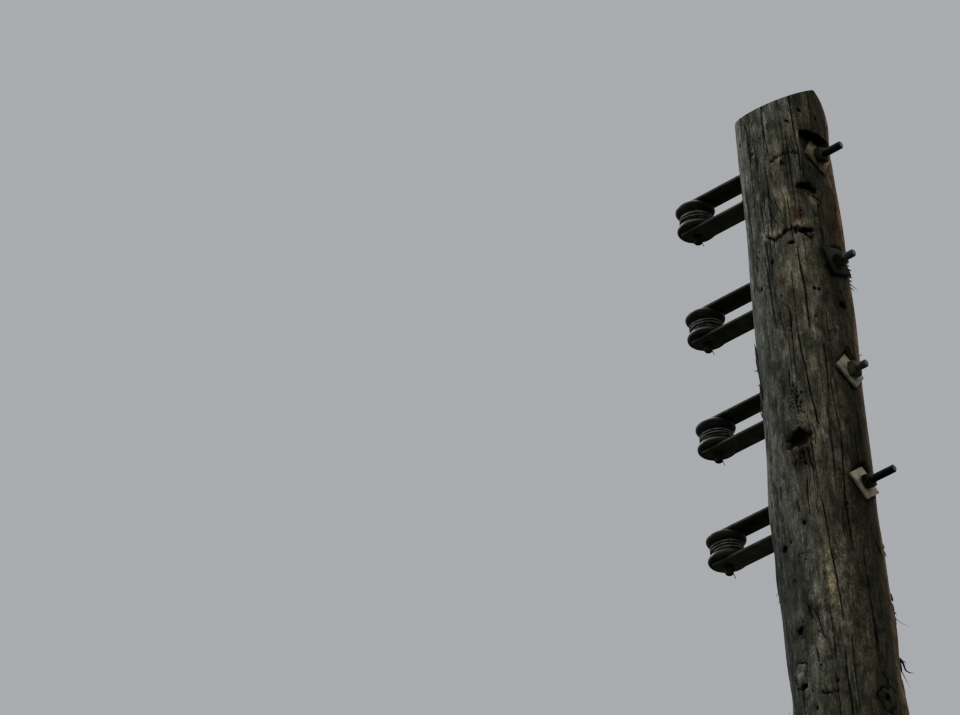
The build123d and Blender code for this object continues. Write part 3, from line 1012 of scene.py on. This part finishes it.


# How deep, how dark with painted shade in its hollow and how proud a knot makes the wood here, and how far it
# swings the fibres
def knotMark(angle, ring, knot):
    look = carving
    centre, level, halfWide, halfHigh, kind = knot
    down = ring["depth"] - level
    across = math.radians(turnedBy(angle, centre)) * ring["radius"]
    if abs(across) > look["knotReach"] * halfWide:
        return 0.0, 0.0, 0.0, 0.0
    fade = math.exp(-(down / (1.7 * halfHigh)) ** 2 - abs(across) / (2.5 * halfWide))
    flow = -look["fibreSwing"] * halfWide * across / math.hypot(across, 0.5 * halfWide) * fade
    rough = 1 + 0.3 * wobble(across * 90, down * 90, centre)
    near = math.hypot(across / halfWide, down / halfHigh) * rough  # 1 at the knot's edge
    cut = dark = bump = 0.0
    if kind == "hole":
        if near < 1:
            cut = min(look["holeDepth"], look["holeShare"] * halfWide) * (1 - near * near)
        dark = min(1.0, 0.5 + (1.08 - near) * 0.9)
        bump = look["holeRim"] * halfWide * math.exp(-((near - 1.3) / 0.3) ** 2)
    elif kind == "ring":
        waves = 0.8 + 0.4 * math.sin(math.radians(angle) * 9 + down * 90)
        groove = math.exp(-((near - 1.0) / 0.16) ** 2) * waves
        cut = look["ringGroove"] * halfWide * groove
        dark = min(1.0, groove)
        bump = look["ringBump"] * halfWide * math.exp(-((near - 0.55) / 0.4) ** 2)
    elif near < look["roughReach"]:
        lumps = max(wobble(across * 170, down * 170, 3.0), 0)
        shade = min(1.0, (look["roughReach"] - near) * 2)
        cut = look["roughShare"] * halfWide * lumps * shade
        dark = min(0.85, 0.3 + lumps * 1.2) * shade
    return cut, dark, bump, flow


def splitMarks(angle, ring):  # how deep each drying split is here, and how much painted shade darkens it
    for place, wide, deep, strength in ring["splits"]:
        gap = abs(math.radians(turnedBy(angle, place)) * ring["radius"])
        reach = wide * 0.55 + carving["crackLip"]
        if gap < reach:
            side = 1 - gap / reach
            shade = (0.55 + 0.45 * strength) * side * carving["darkening"]
            yield min(deep, carving["crackDepth"]) * side, shade


def breakMarks(angle, ring, jag):  # the same for the breaks across the grain
    for wide, deep, line in ring["breaks"]:
        gap = nearestTo(line, angle, ring["depth"] + jag, ring["radius"])
        uneven = 1 + 0.6 * wobble(math.radians(angle) * 30, ring["depth"] * 120, 6.0)
        reach = (wide * 0.5 + carving["breakLip"]) * uneven
        if gap < reach:
            side = 1 - gap / reach
            yield deep * side, side * carving["darkening"]


def tornStep(angle, ring, jag):  # how proud the outer layer stands above an edge where it has torn off
    for proud, fade, line in ring["edges"]:
        first, last = line[0][0], line[-1][0]
        above = between(line, angle) - ring["depth"] - jag
        if first < angle < last and 0 < above < fade:
            return proud * min(1.0, (angle - first) / 3, (last - angle) / 3) * (1 - above / fade)
    return 0.0


def carve(angle, ring):  # how much prouder the wood is here, how dark with painted shade in its hollows, and where its fibres run
    look = carving
    depth, radius = ring["depth"], ring["radius"]
    z = poleTop - depth
    turn = math.radians(angle)
    flow = cut = dark = bump = 0.0
    for swellAngle, halfAngle, height in ring["swells"]:
        bump += height * math.exp(-(turnedBy(angle, swellAngle) / halfAngle) ** 2)
    for knot in ring["knots"]:
        deep, shade, rise, swing = knotMark(angle, ring, knot)
        cut += deep
        dark = max(dark, shade)
        bump += rise
        flow += swing
    jag = look["wideJag"] * wobble(turn * 22, 4.0, 2.0) + look["fineJag"] * wobble(turn * 60, 8.0, 1.0)
    for deep, shade in (*splitMarks(angle, ring), *breakMarks(angle, ring, jag)):
        cut += deep
        dark = max(dark, shade)
    bump += tornStep(angle, ring, jag)
    fibreX = math.cos(turn + flow / radius) * radius
    fibreY = math.sin(turn + flow / radius) * radius
    swell = trunk["swell"] * wobble(math.cos(turn) * 0.9, math.sin(turn) * 0.9, z * 1.6)
    ridge = wobble(fibreX * 95, fibreY * 95, z * 3.0)
    fibre = trunk["fibre"] * wobble(fibreX * 240, fibreY * 240, z * 8.0)
    pit = trunk["pit"] * wobble(fibreX * 300, fibreY * 300, z * 90.0)
    torn = math.exp(-((turnedBy(angle, look["tornAngle"]) / look["tornHalfAngle"]) ** 2)
                    - ((depth - look["tornLevel"]) / look["tornHalfHeight"]) ** 2)
    bump += swell + trunk["ridge"] * ridge * (1 + 2.5 * torn) + fibre * (1 + 3 * torn)
    bump += pit
    # painted shade in the low ridges of the torn patch
    dark = max(dark, min(0.7, max(0.0, -ridge * torn * 2.0)))
    return bump - cut, min(dark, 1.0), (fibreX, fibreY, z)


def sawnTop(x, y):  # height of the roofed top
    slope = trunk["longSlope"] if y < 0 else trunk["steepSlope"]
    return poleTop - trunk["topWear"] - math.hypot(y, trunk["ridgeWear"]) * math.tan(math.radians(slope))


def washerLimit(row, y, z):  # how far out the wood may reach near a washer, and how much painted shadow and dirt darken the wood round it
    shape = trunk
    up = z - rowHeight[row]
    seat = washerSeat[row] - up * leanRise[row]
    turn = math.radians(washer["turns"][row])
    along = up / math.cos(math.radians(washer["leans"][row])) + washer["thickness"] / 2 * leanRise[row]
    sideways = abs(y * math.cos(turn) + along * math.sin(turn))
    upwards = abs(along * math.cos(turn) - y * math.sin(turn))
    outside = max(0.0, max(sideways, upwards) - washer["side"] / 2 - shape["seatMargin"])
    # painted shadow and dirt round the washer's edge, stronger below a slanting line through the washer
    dirt = shape["shadeAndDirtBelow"] if along < y * 0.6 + 0.005 else shape["shadeAndDirtAbove"]
    dirt = math.exp(-(outside / shape["shadeAndDirtReach"]) ** 2) * dirt
    if row == shape["notchRow"]:
        return seat if up < shape["notchReach"] and y > shape["notchWall"] else 1.0, dirt
    if abs(up) > shape["seatReach"] or abs(y) > shape["seatReach"]:
        return 1.0, 0.0
    return seat + outside * shape["seatWall"], dirt


def shapeTrunk(piece):  # relief, seats and saw cuts on a plain shaft, with the values the wood material reads
    mesh = piece.data
    layers = {"paintedHollowShade": 'FLOAT', "grainPlace": 'FLOAT_VECTOR', "weatheringAndPaintedLight": 'FLOAT_COLOR'}
    for name, kind in layers.items():
        mesh.attributes.new(name, kind, 'POINT')
    darkLayer, flowLayer, tintLayer = [mesh.attributes[name] for name in layers]  # read once all are made
    rings, spots = {}, {}
    for vert in mesh.vertices:
        x, y, z = vert.co
        reach = math.hypot(x, y)
        angle = math.degrees(math.atan2(y, x))
        angle -= math.degrees(trunk["crowding"] * math.sin(math.radians(angle - trunk["crowdedAngle"])))
        level = round(min(z, poleTop), 4)
        spot = (round(angle, 2), level)
        if spot not in spots:
            if level not in rings:
                rings[level] = ringAt(poleTop - level)
            spots[spot] = (*carve(angle, rings[level]), tintAt(angle, rings[level]))
        relief, dark, flow, tint = spots[spot]
        onSide = reach > 0.999
        share = min(1.0, reach)
        radius = share * min(plainRadius(level) + relief, footRadius)
        x = math.cos(math.radians(angle)) * radius
        y = math.sin(math.radians(angle)) * radius
        for row, height in enumerate(rowHeight):
            if x > 0 and abs(z - height) < trunk["washerReach"]:
                limit, dirt = washerLimit(row, y, z)
                x = min(x, limit)
                # the wood round the washers is darkened by painted shadow and dirt
                tint = [value * (1 - dirt) for value in tint]
            if abs(z - height) < trunk["strapFlatReach"]:
                x = max(x, strapSeat[row])
        top = sawnTop(x, y)
        if z > top:
            z = top - (0.0 if onSide else dark * trunk["capCrackDepth"] * max(0.0, share - 0.35))
        vert.co = (x, y, z)
        # painted shade for the hollows, faded out towards the middle of the sawn top
        darkLayer.data[vert.index].value = dark if onSide else dark * max(0.0, share * 1.6 - 0.6)
        flowLayer.data[vert.index].vector = flow
        tintLayer.data[vert.index].color = (*tint, 1)
    mesh.update()


def plainShaft(name, low, high, columns, rings):  # a unit cylinder with its rings, shaped afterwards
    bpy.ops.mesh.primitive_cylinder_add(vertices=columns, radius=1, depth=high - low, end_fill_type='NGON',
                                        location=(0, 0, (low + high) / 2))
    piece = nameIt(name)
    applyAll(piece)
    openUp(piece, 'EDGE')
    for cuts in (2, rings // 3 - 1):
        pickEdges(piece, lambda a, b: abs(a.z - b.z) > 1e-5)
        bpy.ops.mesh.subdivide(number_cuts=cuts)
    closeUp()
    return piece


def cleanEdges(piece, heights):  # close pairs of rings give the saw cuts a clean edge
    openUp(piece)
    for height in heights:
        for shift in (-trunk["sawnEdge"], trunk["sawnEdge"]):
            bpy.ops.mesh.select_all(action='SELECT')
            bpy.ops.mesh.bisect(plane_co=(0, 0, height + shift), plane_no=(0, 0, 1))
    closeUp()


def buildTop():  # the two lengths that carry the fittings
    shape = trunk
    for part, name in enumerate(("poleHead", "poleNeck")):
        high = poleTop - part * shape["pieceLength"]
        low = high - shape["pieceLength"]
        piece = plainShaft(name, low, high, shape["columns"], shape["pieceRings"])
        if part == 0:
            openUp(piece)
            pickFaces(piece, lambda centre, normal: normal.z > 0.9 and centre.z > poleTop - 0.01)
            for ring in range(shape["capRings"]):
                bpy.ops.mesh.inset(thickness=shape["capShare"] / shape["capRings"])
            bpy.ops.mesh.poke()
            closeUp()
        cuts = [height + side * shape["strapFlatReach"] for height in rowHeight for side in (1, -1)]
        cuts.append(rowHeight[shape["notchRow"]] + shape["notchReach"])
        cleanEdges(piece, [cut for cut in cuts if low < cut < high])
        shapeTrunk(piece)
        facesOut(piece)
        smooth(piece, 50)
        handOver(piece, "weathered_wood", wood, "pole")
        if part == 0:
            piece.data.materials.append(woodEnd)
            for face in piece.data.polygons:
                inside = face.center.xy.length < 0.97 * plainRadius(face.center.z)
                if inside and face.normal.z > 0.6 and face.center.z > poleTop - 0.1:
                    face.material_index = 1
        print(name, len(piece.data.polygons), "faces")


def buildShaft():
    shape = trunk
    high = poleTop - 2 * shape["pieceLength"]
    shaft = plainShaft("poleShaft", 0.0, high, shape["shaftColumns"], shape["shaftRings"])
    shapeTrunk(shaft)
    facesOut(shaft)
    smooth(shaft, 50)
    handOver(shaft, "weathered_wood", wood, "pole")
    print("lower trunk:", len(shaft.data.polygons), "faces")


buildTop()
buildShaft()

# Torn fibres: angle and depth of the root, how far the tip stands out and hangs down, thickness
splinters = (
    (-141, 0.57, 0.003, -0.03, 0.006),
    (-139, 0.59, 0.003, -0.035, 0.008),
    (-141, 0.605, 0.0035, -0.03, 0.007),
    (-138, 0.62, 0.003, -0.035, 0.008),
    (-140, 0.635, 0.0035, -0.03, 0.007),
    (-141, 0.65, 0.003, -0.03, 0.007),
    (-138, 0.665, 0.0035, -0.04, 0.008),
    (-140, 0.685, 0.003, -0.035, 0.007),
    (-141, 0.705, 0.003, -0.03, 0.006),
    (-134, 0.61, 0.003, -0.05, 0.007),
    (-133, 0.65, 0.003, -0.05, 0.008),
    (-134, 0.69, 0.003, -0.05, 0.007),
    (-141, 0.60, 0.008, 0.005, 0.003),
    (-140, 0.635, 0.009, 0.003, 0.003),
    (-139, 0.715, 0.005, -0.02, 0.004),
    (-138, 0.61, 0.012, -0.008, 0.0016),
    (-140, 1.095, 0.006, 0.010, 0.002),
    (-139, 1.112, 0.005, 0.011, 0.0018),
    (-140, 1.395, 0.005, -0.045, 0.003),
    (-139, 1.41, 0.006, -0.05, 0.004),
    (38, 0.38, 0.006, 0.004, 0.006),
    (39, 0.388, 0.008, 0.006, 0.005),
    (38, 0.397, 0.007, 0.01, 0.006),
    (39, 0.406, 0.008, 0.004, 0.005),
    (38, 0.414, 0.007, 0.006, 0.005),
    (38, 0.43, 0.008, 0.014, 0.003),
    (38, 0.59, 0.007, -0.007, 0.0026),
    (37, 1.008, 0.003, 0.012, 0.006),
    (38, 1.022, 0.004, 0.016, 0.005),
    (38, 1.118, 0.004, 0.016, 0.009),
    (37, 1.128, 0.005, 0.003, 0.006),
    (38, 1.14, 0.003, 0.022, 0.009),
    (37, 1.155, 0.006, 0.01, 0.004),
    (38, 1.16, 0.003, 0.024, 0.007),
    (38, 1.262, 0.003, 0.022, 0.008),
)
# Longer fibres that curl: angle and depth of the root, how far out and down each bend is, thickness
curls = (
    (38, 0.42, ((0.003, 0.004), (0.006, 0.012), (0.016, 0.02)), 0.0034),
    (38, 1.162, ((0.003, 0.01), (0.009, 0.021), (0.026, 0.028)), 0.0024),
    (38, 1.255, ((0.006, 0.007), (0.007, 0.024), (0.011, 0.033), (0.023, 0.035)), 0.0065),
    (38, 1.275, ((0.004, 0.012), (0.008, 0.03), (0.014, 0.045)), 0.003),
    (38, 1.262, ((0.007, -0.001), (0.011, 0.002), (0.012, 0.008)), 0.003),
)
rootBend = (-0.0025, 0.0)  # each fibre starts inside the wood


def trunkPlace(angle, depth, out, down):  # a place off the trunk's real surface
    radius = plainRadius(poleTop - depth) + carve(angle, ringAt(depth))[0] + out
    turn = math.radians(angle)
    return Vector((math.cos(turn) * radius, math.sin(turn) * radius, poleTop - depth - down))


def buildSplinters():
    pieces = []
    for angle, depth, out, down, thick in splinters:
        bends = (rootBend, (out * 0.35 - 0.0015, down * 0.2), (out * 0.7 - 0.0005, down * 0.6),
                 (out - 0.0005, down))
        line = [trunkPlace(angle, depth, *bend) for bend in bends]
        pieces.append(runWire("fibre", line, thick, 1, (1.0, 0.9, 0.6, 0.15)))
    for angle, depth, bends, thick in curls:
        line = [trunkPlace(angle, depth, *bend) for bend in (rootBend, *bends)]
        taper = [1 - 0.8 * step / len(bends) for step in range(len(line))]
        pieces.append(runWire("fibre", line, thick, 1, taper))
    piece = joinAs("splinters", pieces)
    facesOut(piece)
    smooth(piece, 60)
    handOver(piece, "weathered_wood", tornWood)
    print("splinters:", len(pieces))


buildSplinters()

# Bent straps
strap = {
    "width": 0.05,
    "thickness": 0.006,
    "bendOutside": 0.012,
    "bendSteps": 8,
    "cornerRadius": 0.005,
    "cornerSteps": 5,
    "edgeRound": 0.0011,
    "boltHole": 0.009,
    "pinHole": 0.0085,
}


def buildStraps():
    shape = strap
    low, high = lowCorner("bracket_strap_1"), highCorner("bracket_strap_1")
    pinX = middle("spool_pin_1").x
    half = shape["thickness"] / 2
    bend = shape["bendOutside"] - half  # radius of the middle of the plate
    topMiddle = high.z - half
    lowMiddle = low.z + half
    bendX = high.x - shape["bendOutside"]
    straight = bendX - low.x
    bpy.ops.mesh.primitive_plane_add(size=1, location=(low.x, 0, topMiddle), rotation=(0, math.pi / 2, 0))
    piece = nameIt("bracketStrap1")
    piece.scale = (shape["thickness"], shape["width"], 1)
    applyAll(piece)
    openUp(piece, 'EDGE')
    bpy.ops.mesh.select_all(action='SELECT')
    bpy.ops.mesh.delete(type='ONLY_FACE')
    bpy.ops.mesh.select_all(action='SELECT')
    bpy.ops.mesh.extrude_region_move(TRANSFORM_OT_translate={"value": (straight, 0, 0)})
    upper, lower = topMiddle - bend, lowMiddle + bend
    for centreZ, run in ((upper, (0, 0, lower - upper)), (lower, (-straight, 0, 0))):
        hub = (bendX, 0, centreZ)
        bpy.ops.mesh.spin(steps=shape["bendSteps"], angle=-math.pi / 2, center=hub, axis=(0, 1, 0))
        bpy.ops.mesh.extrude_region_move(TRANSFORM_OT_translate={"value": run})
    bpy.ops.mesh.select_all(action='SELECT')
    bpy.ops.mesh.remove_doubles(threshold=weld)
    bpy.ops.mesh.fill_holes(sides=4)
    closeUp()
    facesOut(piece)
    openUp(piece, 'EDGE')
    through = shape["thickness"] * 0.9
    pickEdges(piece, lambda a, b: max(a.x, b.x) < low.x + 0.0001 and abs(a.z - b.z) > through)
    bpy.ops.mesh.bevel(offset=shape["cornerRadius"], segments=shape["cornerSteps"])
    closeUp()
    centre = (low.z + high.z) / 2
    drill(piece, (pinX, 0, centre), (0, 0, 1), shape["pinHole"], 0.2)
    drill(piece, (high.x, 0, centre), (1, 0, 0), shape["boltHole"])
    softenEdges(piece, shape["edgeRound"])
    smooth(piece, 40)
    straps = [piece]
    for row in rows[1:]:
        shift = middle(f"bracket_strap_{row}") - middle("bracket_strap_1")
        straps.append(copyTo(piece, f"bracketStrap{row}", shift))
    for row, strapPiece in zip(rows, straps):
        handOver(strapPiece, "galvanised_strap", strapMetal, f"bracket_strap_{row}")
    print("straps:", len(piece.data.polygons), "faces each")


buildStraps()

# Spools, with a deep neck between two rounded flanges
spool = {
    "flange": 0.0395,
    "neck": 0.024,
    "bore": 0.00875,
    "halfHeight": 0.028,
    "halfGroove": 0.016,
    "rim": 0.006,
    "boreCut": 0.001,
    "lip": (0.004, 0.001),  # in from the flange's edge, and towards the middle
    "throat": ((0.005, -0.0124), (0.0012, -0.0082), (0.0, -0.0042)),  # out from the neck, up from the middle
}


def arcPoints(centreR, centreZ, radius, start, end, steps):  # from start to end in degrees
    turns = [math.radians(start + (end - start) * step / steps) for step in range(steps + 1)]
    return [(centreR + radius * math.cos(turn), centreZ + radius * math.sin(turn)) for turn in turns]


def buildSpools():
    shape = spool
    rim = shape["rim"]
    half = shape["halfHeight"]
    lower = [(shape["bore"] + shape["boreCut"], -half), (shape["flange"] - rim, -half)]
    lower += arcPoints(shape["flange"] - rim, -half + rim, rim, -90, 30, 6)[1:]
    lower += [(shape["flange"] - shape["lip"][0], -shape["halfGroove"] + shape["lip"][1])]
    lower += [(shape["neck"] + out, height) for out, height in shape["throat"]]
    upper = [(radius, -height) for radius, height in reversed(lower)]
    bore = [(shape["bore"], half - shape["boreCut"]), (shape["bore"], -half + shape["boreCut"])]
    piece = turnUp("spool1", lower + upper + bore, 64, True)
    smooth(piece, 32)
    for row in rows:
        placed = copyTo(piece, f"spoolInsulator{row}", middle(f"spool_insulator_{row}"))
        handOver(placed, "porcelain", porcelain, f"spool_insulator_{row}")
    print("spools:", len(piece.data.polygons), "faces each")
    bpy.data.objects.remove(piece)


buildSpools()

# Tie wire left round each neck: each layer's radius, number of turns, height where it starts, and climb
tie = {
    "thickness": 0.0034,
    "layers": ((0.0262, 4.3, -0.008, 0.0038), (0.0296, 3.8, 0.0082, -0.0043), (0.0332, 2.4, -0.0078, 0.0062)),
    "unevenHeight": 0.0009,
    "unevenRadius": 0.0006,
    "pointsPerTurn": 14,
}


def tiePoints(row):
    shape = tie
    rng = random.Random(20 + row)
    around = rng.uniform(0, math.tau)
    points = []
    for radius, turns, startHeight, rise in shape["layers"]:
        for step in range(int(turns * shape["pointsPerTurn"])):
            height = startHeight + rise * step / shape["pointsPerTurn"]
            height += rng.uniform(-1, 1) * shape["unevenHeight"]
            points.append((radius + rng.uniform(-1, 1) * shape["unevenRadius"], around, height))
            around += math.tau / shape["pointsPerTurn"]
    centre = middle(f"spool_insulator_{row}")
    return [centre + Vector((r * math.cos(a), r * math.sin(a), h)) for r, a, h in points]


def buildTies():
    for row in rows:
        piece = runWire(f"tieWire{row}", tiePoints(row), tie["thickness"], 3)
        facesOut(piece)
        smooth(piece, 60)
        handOver(piece, "tie_wire", wireMetal, f"tie_wire_{row}")
    print("tie wires: four")


buildTies()

# Headed pins with their split pins
pin = {
    "radius": 0.008,
    "headRadius": 0.013,
    "headHeight": 0.007,
    "headRound": 0.0028,
    "headCut": (0.0005, 0.0006),  # inwards and up
    "headFlat": 0.004,
    "tipRound": 0.0015,
    "neckCut": 0.0008,
}
splitPin = {
    "thickness": 0.0036,
    "eyeRadius": 0.0045,
    "stem": (0.012, 0.024),  # where both legs lie together
    "legBend": 0.027,
    "legEnd": 0.032,
    "spread": 0.006,
    "moreSpread": 0.2,  # for each row further down
}


def buildPins():
    shape = pin
    low, high = lowCorner("spool_pin_1"), highCorner("spool_pin_1")
    centre = middle("spool_pin_1")
    half = (high.z - low.z) / 2
    neck = half - shape["headHeight"]
    profile = [(shape["radius"] - shape["tipRound"], -half), (shape["radius"], -half + shape["tipRound"])]
    inward, rise = shape["headCut"]
    profile += [(shape["radius"], neck - shape["neckCut"]), (shape["radius"], neck)]
    profile += [(shape["headRadius"] - inward, neck), (shape["headRadius"], neck + rise)]
    roundRadius = shape["headRound"]
    profile += arcPoints(shape["headRadius"] - roundRadius, half - roundRadius, roundRadius, 0, 80, 5)
    profile += [(shape["headFlat"], half)]
    piece = turnUp("pinShape", profile, 40)
    smooth(piece, 35)
    for row in rows:
        placed = copyTo(piece, f"spoolPin{row}", middle(f"spool_pin_{row}"))
        handOver(placed, "galvanised_fastener", pinMetal, f"spool_pin_{row}")
    bpy.data.objects.remove(piece)
    small = splitPin
    eye, wire = small["eyeRadius"], small["thickness"] / 2
    for row in rows:
        spot = middle(f"split_pin_{row}")
        spot.y = lowCorner(f"split_pin_{row}").y + eye + wire
        legs = []
        for side in (-1, 1):
            lift = side * wire / 2
            bent = side * small["spread"] * (1 + small["moreSpread"] * row)
            line = [(0, -eye, side * 0.0005), (0, -eye * 0.7, side * eye), (0, 0.001, side * eye)]
            line += [(0, eye, lift)]
            line += [(0, along, lift) for along in small["stem"]]
            line += [(0, small["legBend"], lift * 1.5), (0, small["legEnd"], bent)]
            legs.append(runWire("leg", [spot + Vector(place) for place in line], wire, 3))
        piece = joinAs(f"splitPin{row}", legs)
        facesOut(piece)
        smooth(piece, 60)
        handOver(piece, "galvanised_fastener", pinMetal, f"split_pin_{row}")
    print("pins and split pins: four each")


buildPins()

# Square washers on their seats, and the nuts
nut = {
    "side": 0.026,
    "height": 0.013,
    "turns": (14.0, 35.0, 8.0, 28.0),
    "edgeRound": 0.0006,
    "hole": 0.0081,
    # The cone that trims its outer corners
    "coneFoot": 0.0272,
    "coneTip": 0.0127,
    "coneStart": 0.0065,
    "coneOver": 0.001,
}


def buildWashers():
    shape = washer
    for row, turn, lean in zip(rows, shape["turns"], shape["leans"]):
        bpy.ops.mesh.primitive_cube_add(size=1)
        piece = nameIt(f"squareWasher{row}")
        piece.scale = (shape["thickness"], shape["side"], shape["side"])
        applyAll(piece)
        drill(piece, (0, 0, 0), (1, 0, 0), shape["hole"])
        softenEdges(piece, shape["edgeRound"])
        piece.rotation_euler = (math.radians(turn), -math.radians(lean), 0)
        piece.location = middle(f"square_washer_{row}")
        applyAll(piece)
        smooth(piece, 40)
        handOver(piece, "galvanised_washer", washerMetals[row - 1], f"square_washer_{row}")
    print("washers: four")


def buildNuts():
    shape = nut
    for row, turn in zip(rows, shape["turns"]):
        bpy.ops.mesh.primitive_cube_add(size=1)
        piece = nameIt(f"squareNut{row}")
        piece.scale = (shape["height"], shape["side"], shape["side"])
        piece.rotation_euler = (math.radians(turn), 0, 0)
        applyAll(piece)
        half = shape["height"] / 2
        cone = [(shape["coneFoot"], -half - shape["coneOver"]),
                (shape["coneFoot"], half - shape["coneStart"]),
                (shape["coneTip"], half + shape["coneOver"])]
        trim = turnUp("trim", cone, 48)
        trim.rotation_euler = (0, math.pi / 2, 0)
        applyAll(trim)
        cutBy(piece, trim, 'INTERSECT')
        drill(piece, (0, 0, 0), (1, 0, 0), shape["hole"])
        softenEdges(piece, shape["edgeRound"])
        piece.location = middle(f"square_nut_{row}")
        applyAll(piece)
        smooth(piece, 40)
        handOver(piece, "galvanised_fastener", nutMetals[row - 1], f"square_nut_{row}")
    print("nuts: four")


buildWashers()
buildNuts()

# Through bolts: square head, plain shank, cut thread at the free end
bolt = {
    "radius": 0.008,
    "rootRadius": 0.0069,
    "pitch": 0.002,
    "headSide": 0.025,
    "headHeight": 0.010,
    "headRound": 0.0016,
    "overlap": 0.002,  # of the shank into the head, and of its full thickness into the nut
    "step": 0.001,
    "tipCut": 0.0015,
    "threadSteps": 20,
    "threadFlank": 0.48,
    "threadBase": 0.0003,
    "threadEnd": 0.6,
}


def cutThread(start, end):  # one V wound round the bolt, from start to end along X
    shape = bolt
    turns = int((end - start) / shape["pitch"])
    bpy.ops.mesh.primitive_circle_add(vertices=3, radius=1, fill_type='NOTHING')
    piece = nameIt("thread")
    size = shape["radius"] - shape["rootRadius"] + shape["threadBase"]
    flank = shape["pitch"] * shape["threadFlank"]
    piece.data.vertices[0].co = (shape["radius"], 0, 0)
    piece.data.vertices[1].co = (shape["radius"] - size, 0, flank)
    piece.data.vertices[2].co = (shape["radius"] - size, 0, -flank)
    screw = piece.modifiers.new("thread", 'SCREW')
    screw.screw_offset = shape["pitch"]
    screw.iterations = turns
    screw.steps = shape["threadSteps"]
    screw.render_steps = shape["threadSteps"]
    onlyThis(piece)
    bpy.ops.object.modifier_apply(modifier=screw.name)
    openUp(piece, 'EDGE')
    bpy.ops.mesh.select_non_manifold()
    bpy.ops.mesh.edge_face_add()
    closeUp()
    piece.rotation_euler = (0, math.pi / 2, 0)
    piece.location = (end - shape["pitch"] * shape["threadEnd"] - turns * shape["pitch"], 0, 0)
    applyAll(piece)
    return piece


def buildBolts():
    shape = bolt
    for row in rows:
        low, high = lowCorner(f"through_bolt_{row}"), highCorner(f"through_bolt_{row}")
        nutEnd = highCorner(f"square_nut_{row}").x
        head = low.x + shape["headHeight"]
        root = shape["rootRadius"]
        profile = [(shape["radius"], head - shape["overlap"]), (shape["radius"], nutEnd - shape["overlap"]),
                   (root, nutEnd - shape["step"]), (root, high.x - shape["tipCut"]),
                   (root - shape["tipCut"], high.x)]
        shank = turnUp("shank", profile, 32)
        shank.rotation_euler = (0, math.pi / 2, 0)
        applyAll(shank)
        bpy.ops.mesh.primitive_cube_add(size=1, location=(low.x + shape["headHeight"] / 2, 0, 0))
        square = nameIt("square")
        square.scale = (shape["headHeight"], shape["headSide"], shape["headSide"])
        applyAll(square)
        softenEdges(square, shape["headRound"], 3)
        thread = cutThread(nutEnd, high.x)
        piece = joinAs(f"throughBolt{row}", [shank, square, thread])
        facesOut(piece)
        piece.location = (0, 0, rowHeight[row - 1])
        applyAll(piece)
        smooth(piece, 35)
        handOver(piece, "dark_bolt", boltMetals[row - 1], f"through_bolt_{row}")
        piece.data.materials.append(boltEndMetal)
        for face in piece.data.polygons:
            if face.normal.x > 0.9 and face.center.x > high.x - 0.0003:
                face.material_index = 1
    print("bolts: four")


buildBolts()

# Camera at the photograph's place, floor and lights
view = {
    "place": (6.081, -8.614, 1.520),
    "aim": (-0.4875, -0.3893, 8.1808),
    "roll": -4.824,
    "lens": 243.62,
    "sensor": 36.0,
    "farEnd": 200,
}


def setCamera():
    bpy.ops.object.camera_add(location=view["place"])
    camera = bpy.context.active_object
    camera.name = "photoCamera"
    camera.data.lens = view["lens"]
    camera.data.sensor_width = view["sensor"]
    camera.data.clip_end = view["farEnd"]
    ahead = Vector(view["aim"]) - Vector(view["place"])
    turn = ahead.to_track_quat('-Z', 'Y') @ Quaternion((0, 0, 1), math.radians(view["roll"]))
    camera.rotation_mode = 'QUATERNION'
    camera.rotation_quaternion = turn
    bpy.context.scene.camera = camera


def areaLight(name, place, aim, size, power, colour):
    bpy.ops.object.light_add(type='AREA', location=place)
    light = bpy.context.active_object
    light.name = name
    light.data.size = size
    light.data.energy = power
    light.data.color = colour
    light.rotation_euler = (Vector(aim) - Vector(place)).to_track_quat('-Z', 'Y').to_euler()


studio = {
    "seen": (0.50, 0.525, 0.565),
    "below": (0.035, 0.034, 0.03),
    "horizon": (0.27, 0.28, 0.29),
    "overhead": (0.82, 0.82, 0.83),
    "floorRadius": 3.2,
    "floor": (0.66, 0.66, 0.65, 1),
    "lights": (  # name, place, aim, size, power, colour
        ("overhead", (-2.5, 0.5, 13.5), (0, 0, 8.0), 5.0, 250, (1, 1, 1)),
        ("leftFront", (-8.0, -5.0, 10.5), (0, 0, 8.0), 4.0, 90, (0.96, 0.98, 1)),
    ),
}


def setStudio():
    bpy.ops.mesh.primitive_circle_add(vertices=96, radius=studio["floorRadius"], fill_type='NGON')
    floor = nameIt("paleFloor")
    material, tree, shader, place = newMaterial("paleFloor")
    shader.inputs['Base Color'].default_value = studio["floor"]
    shader.inputs['Roughness'].default_value = 0.85
    floor.data.materials.append(material)
    world = bpy.data.worlds.new("paleStudio")
    bpy.context.scene.world = world
    world.use_nodes = True
    tree = world.node_tree
    parts = addNode(tree, 'ShaderNodeSeparateXYZ')
    tree.links.new(addNode(tree, 'ShaderNodeTexCoord').outputs['Generated'], parts.inputs[0])
    height = mathNode(tree, 'ADD', mathNode(tree, 'MULTIPLY', parts.outputs['Z'], 0.5), 0.5)
    shades = ((0.46, studio["below"]), (0.52, studio["horizon"]), (0.9, studio["overhead"]))
    dome = rampNode(tree, height, shades)
    direct = addNode(tree, 'ShaderNodeLightPath').outputs['Is Camera Ray']
    background = tree.nodes['Background']
    tree.links.new(mixNode(tree, direct, dome, studio["seen"]), background.inputs['Color'])
    for light in studio["lights"]:
        areaLight(*light)
    print("camera, floor and lights are set")


setCamera()
setStudio()
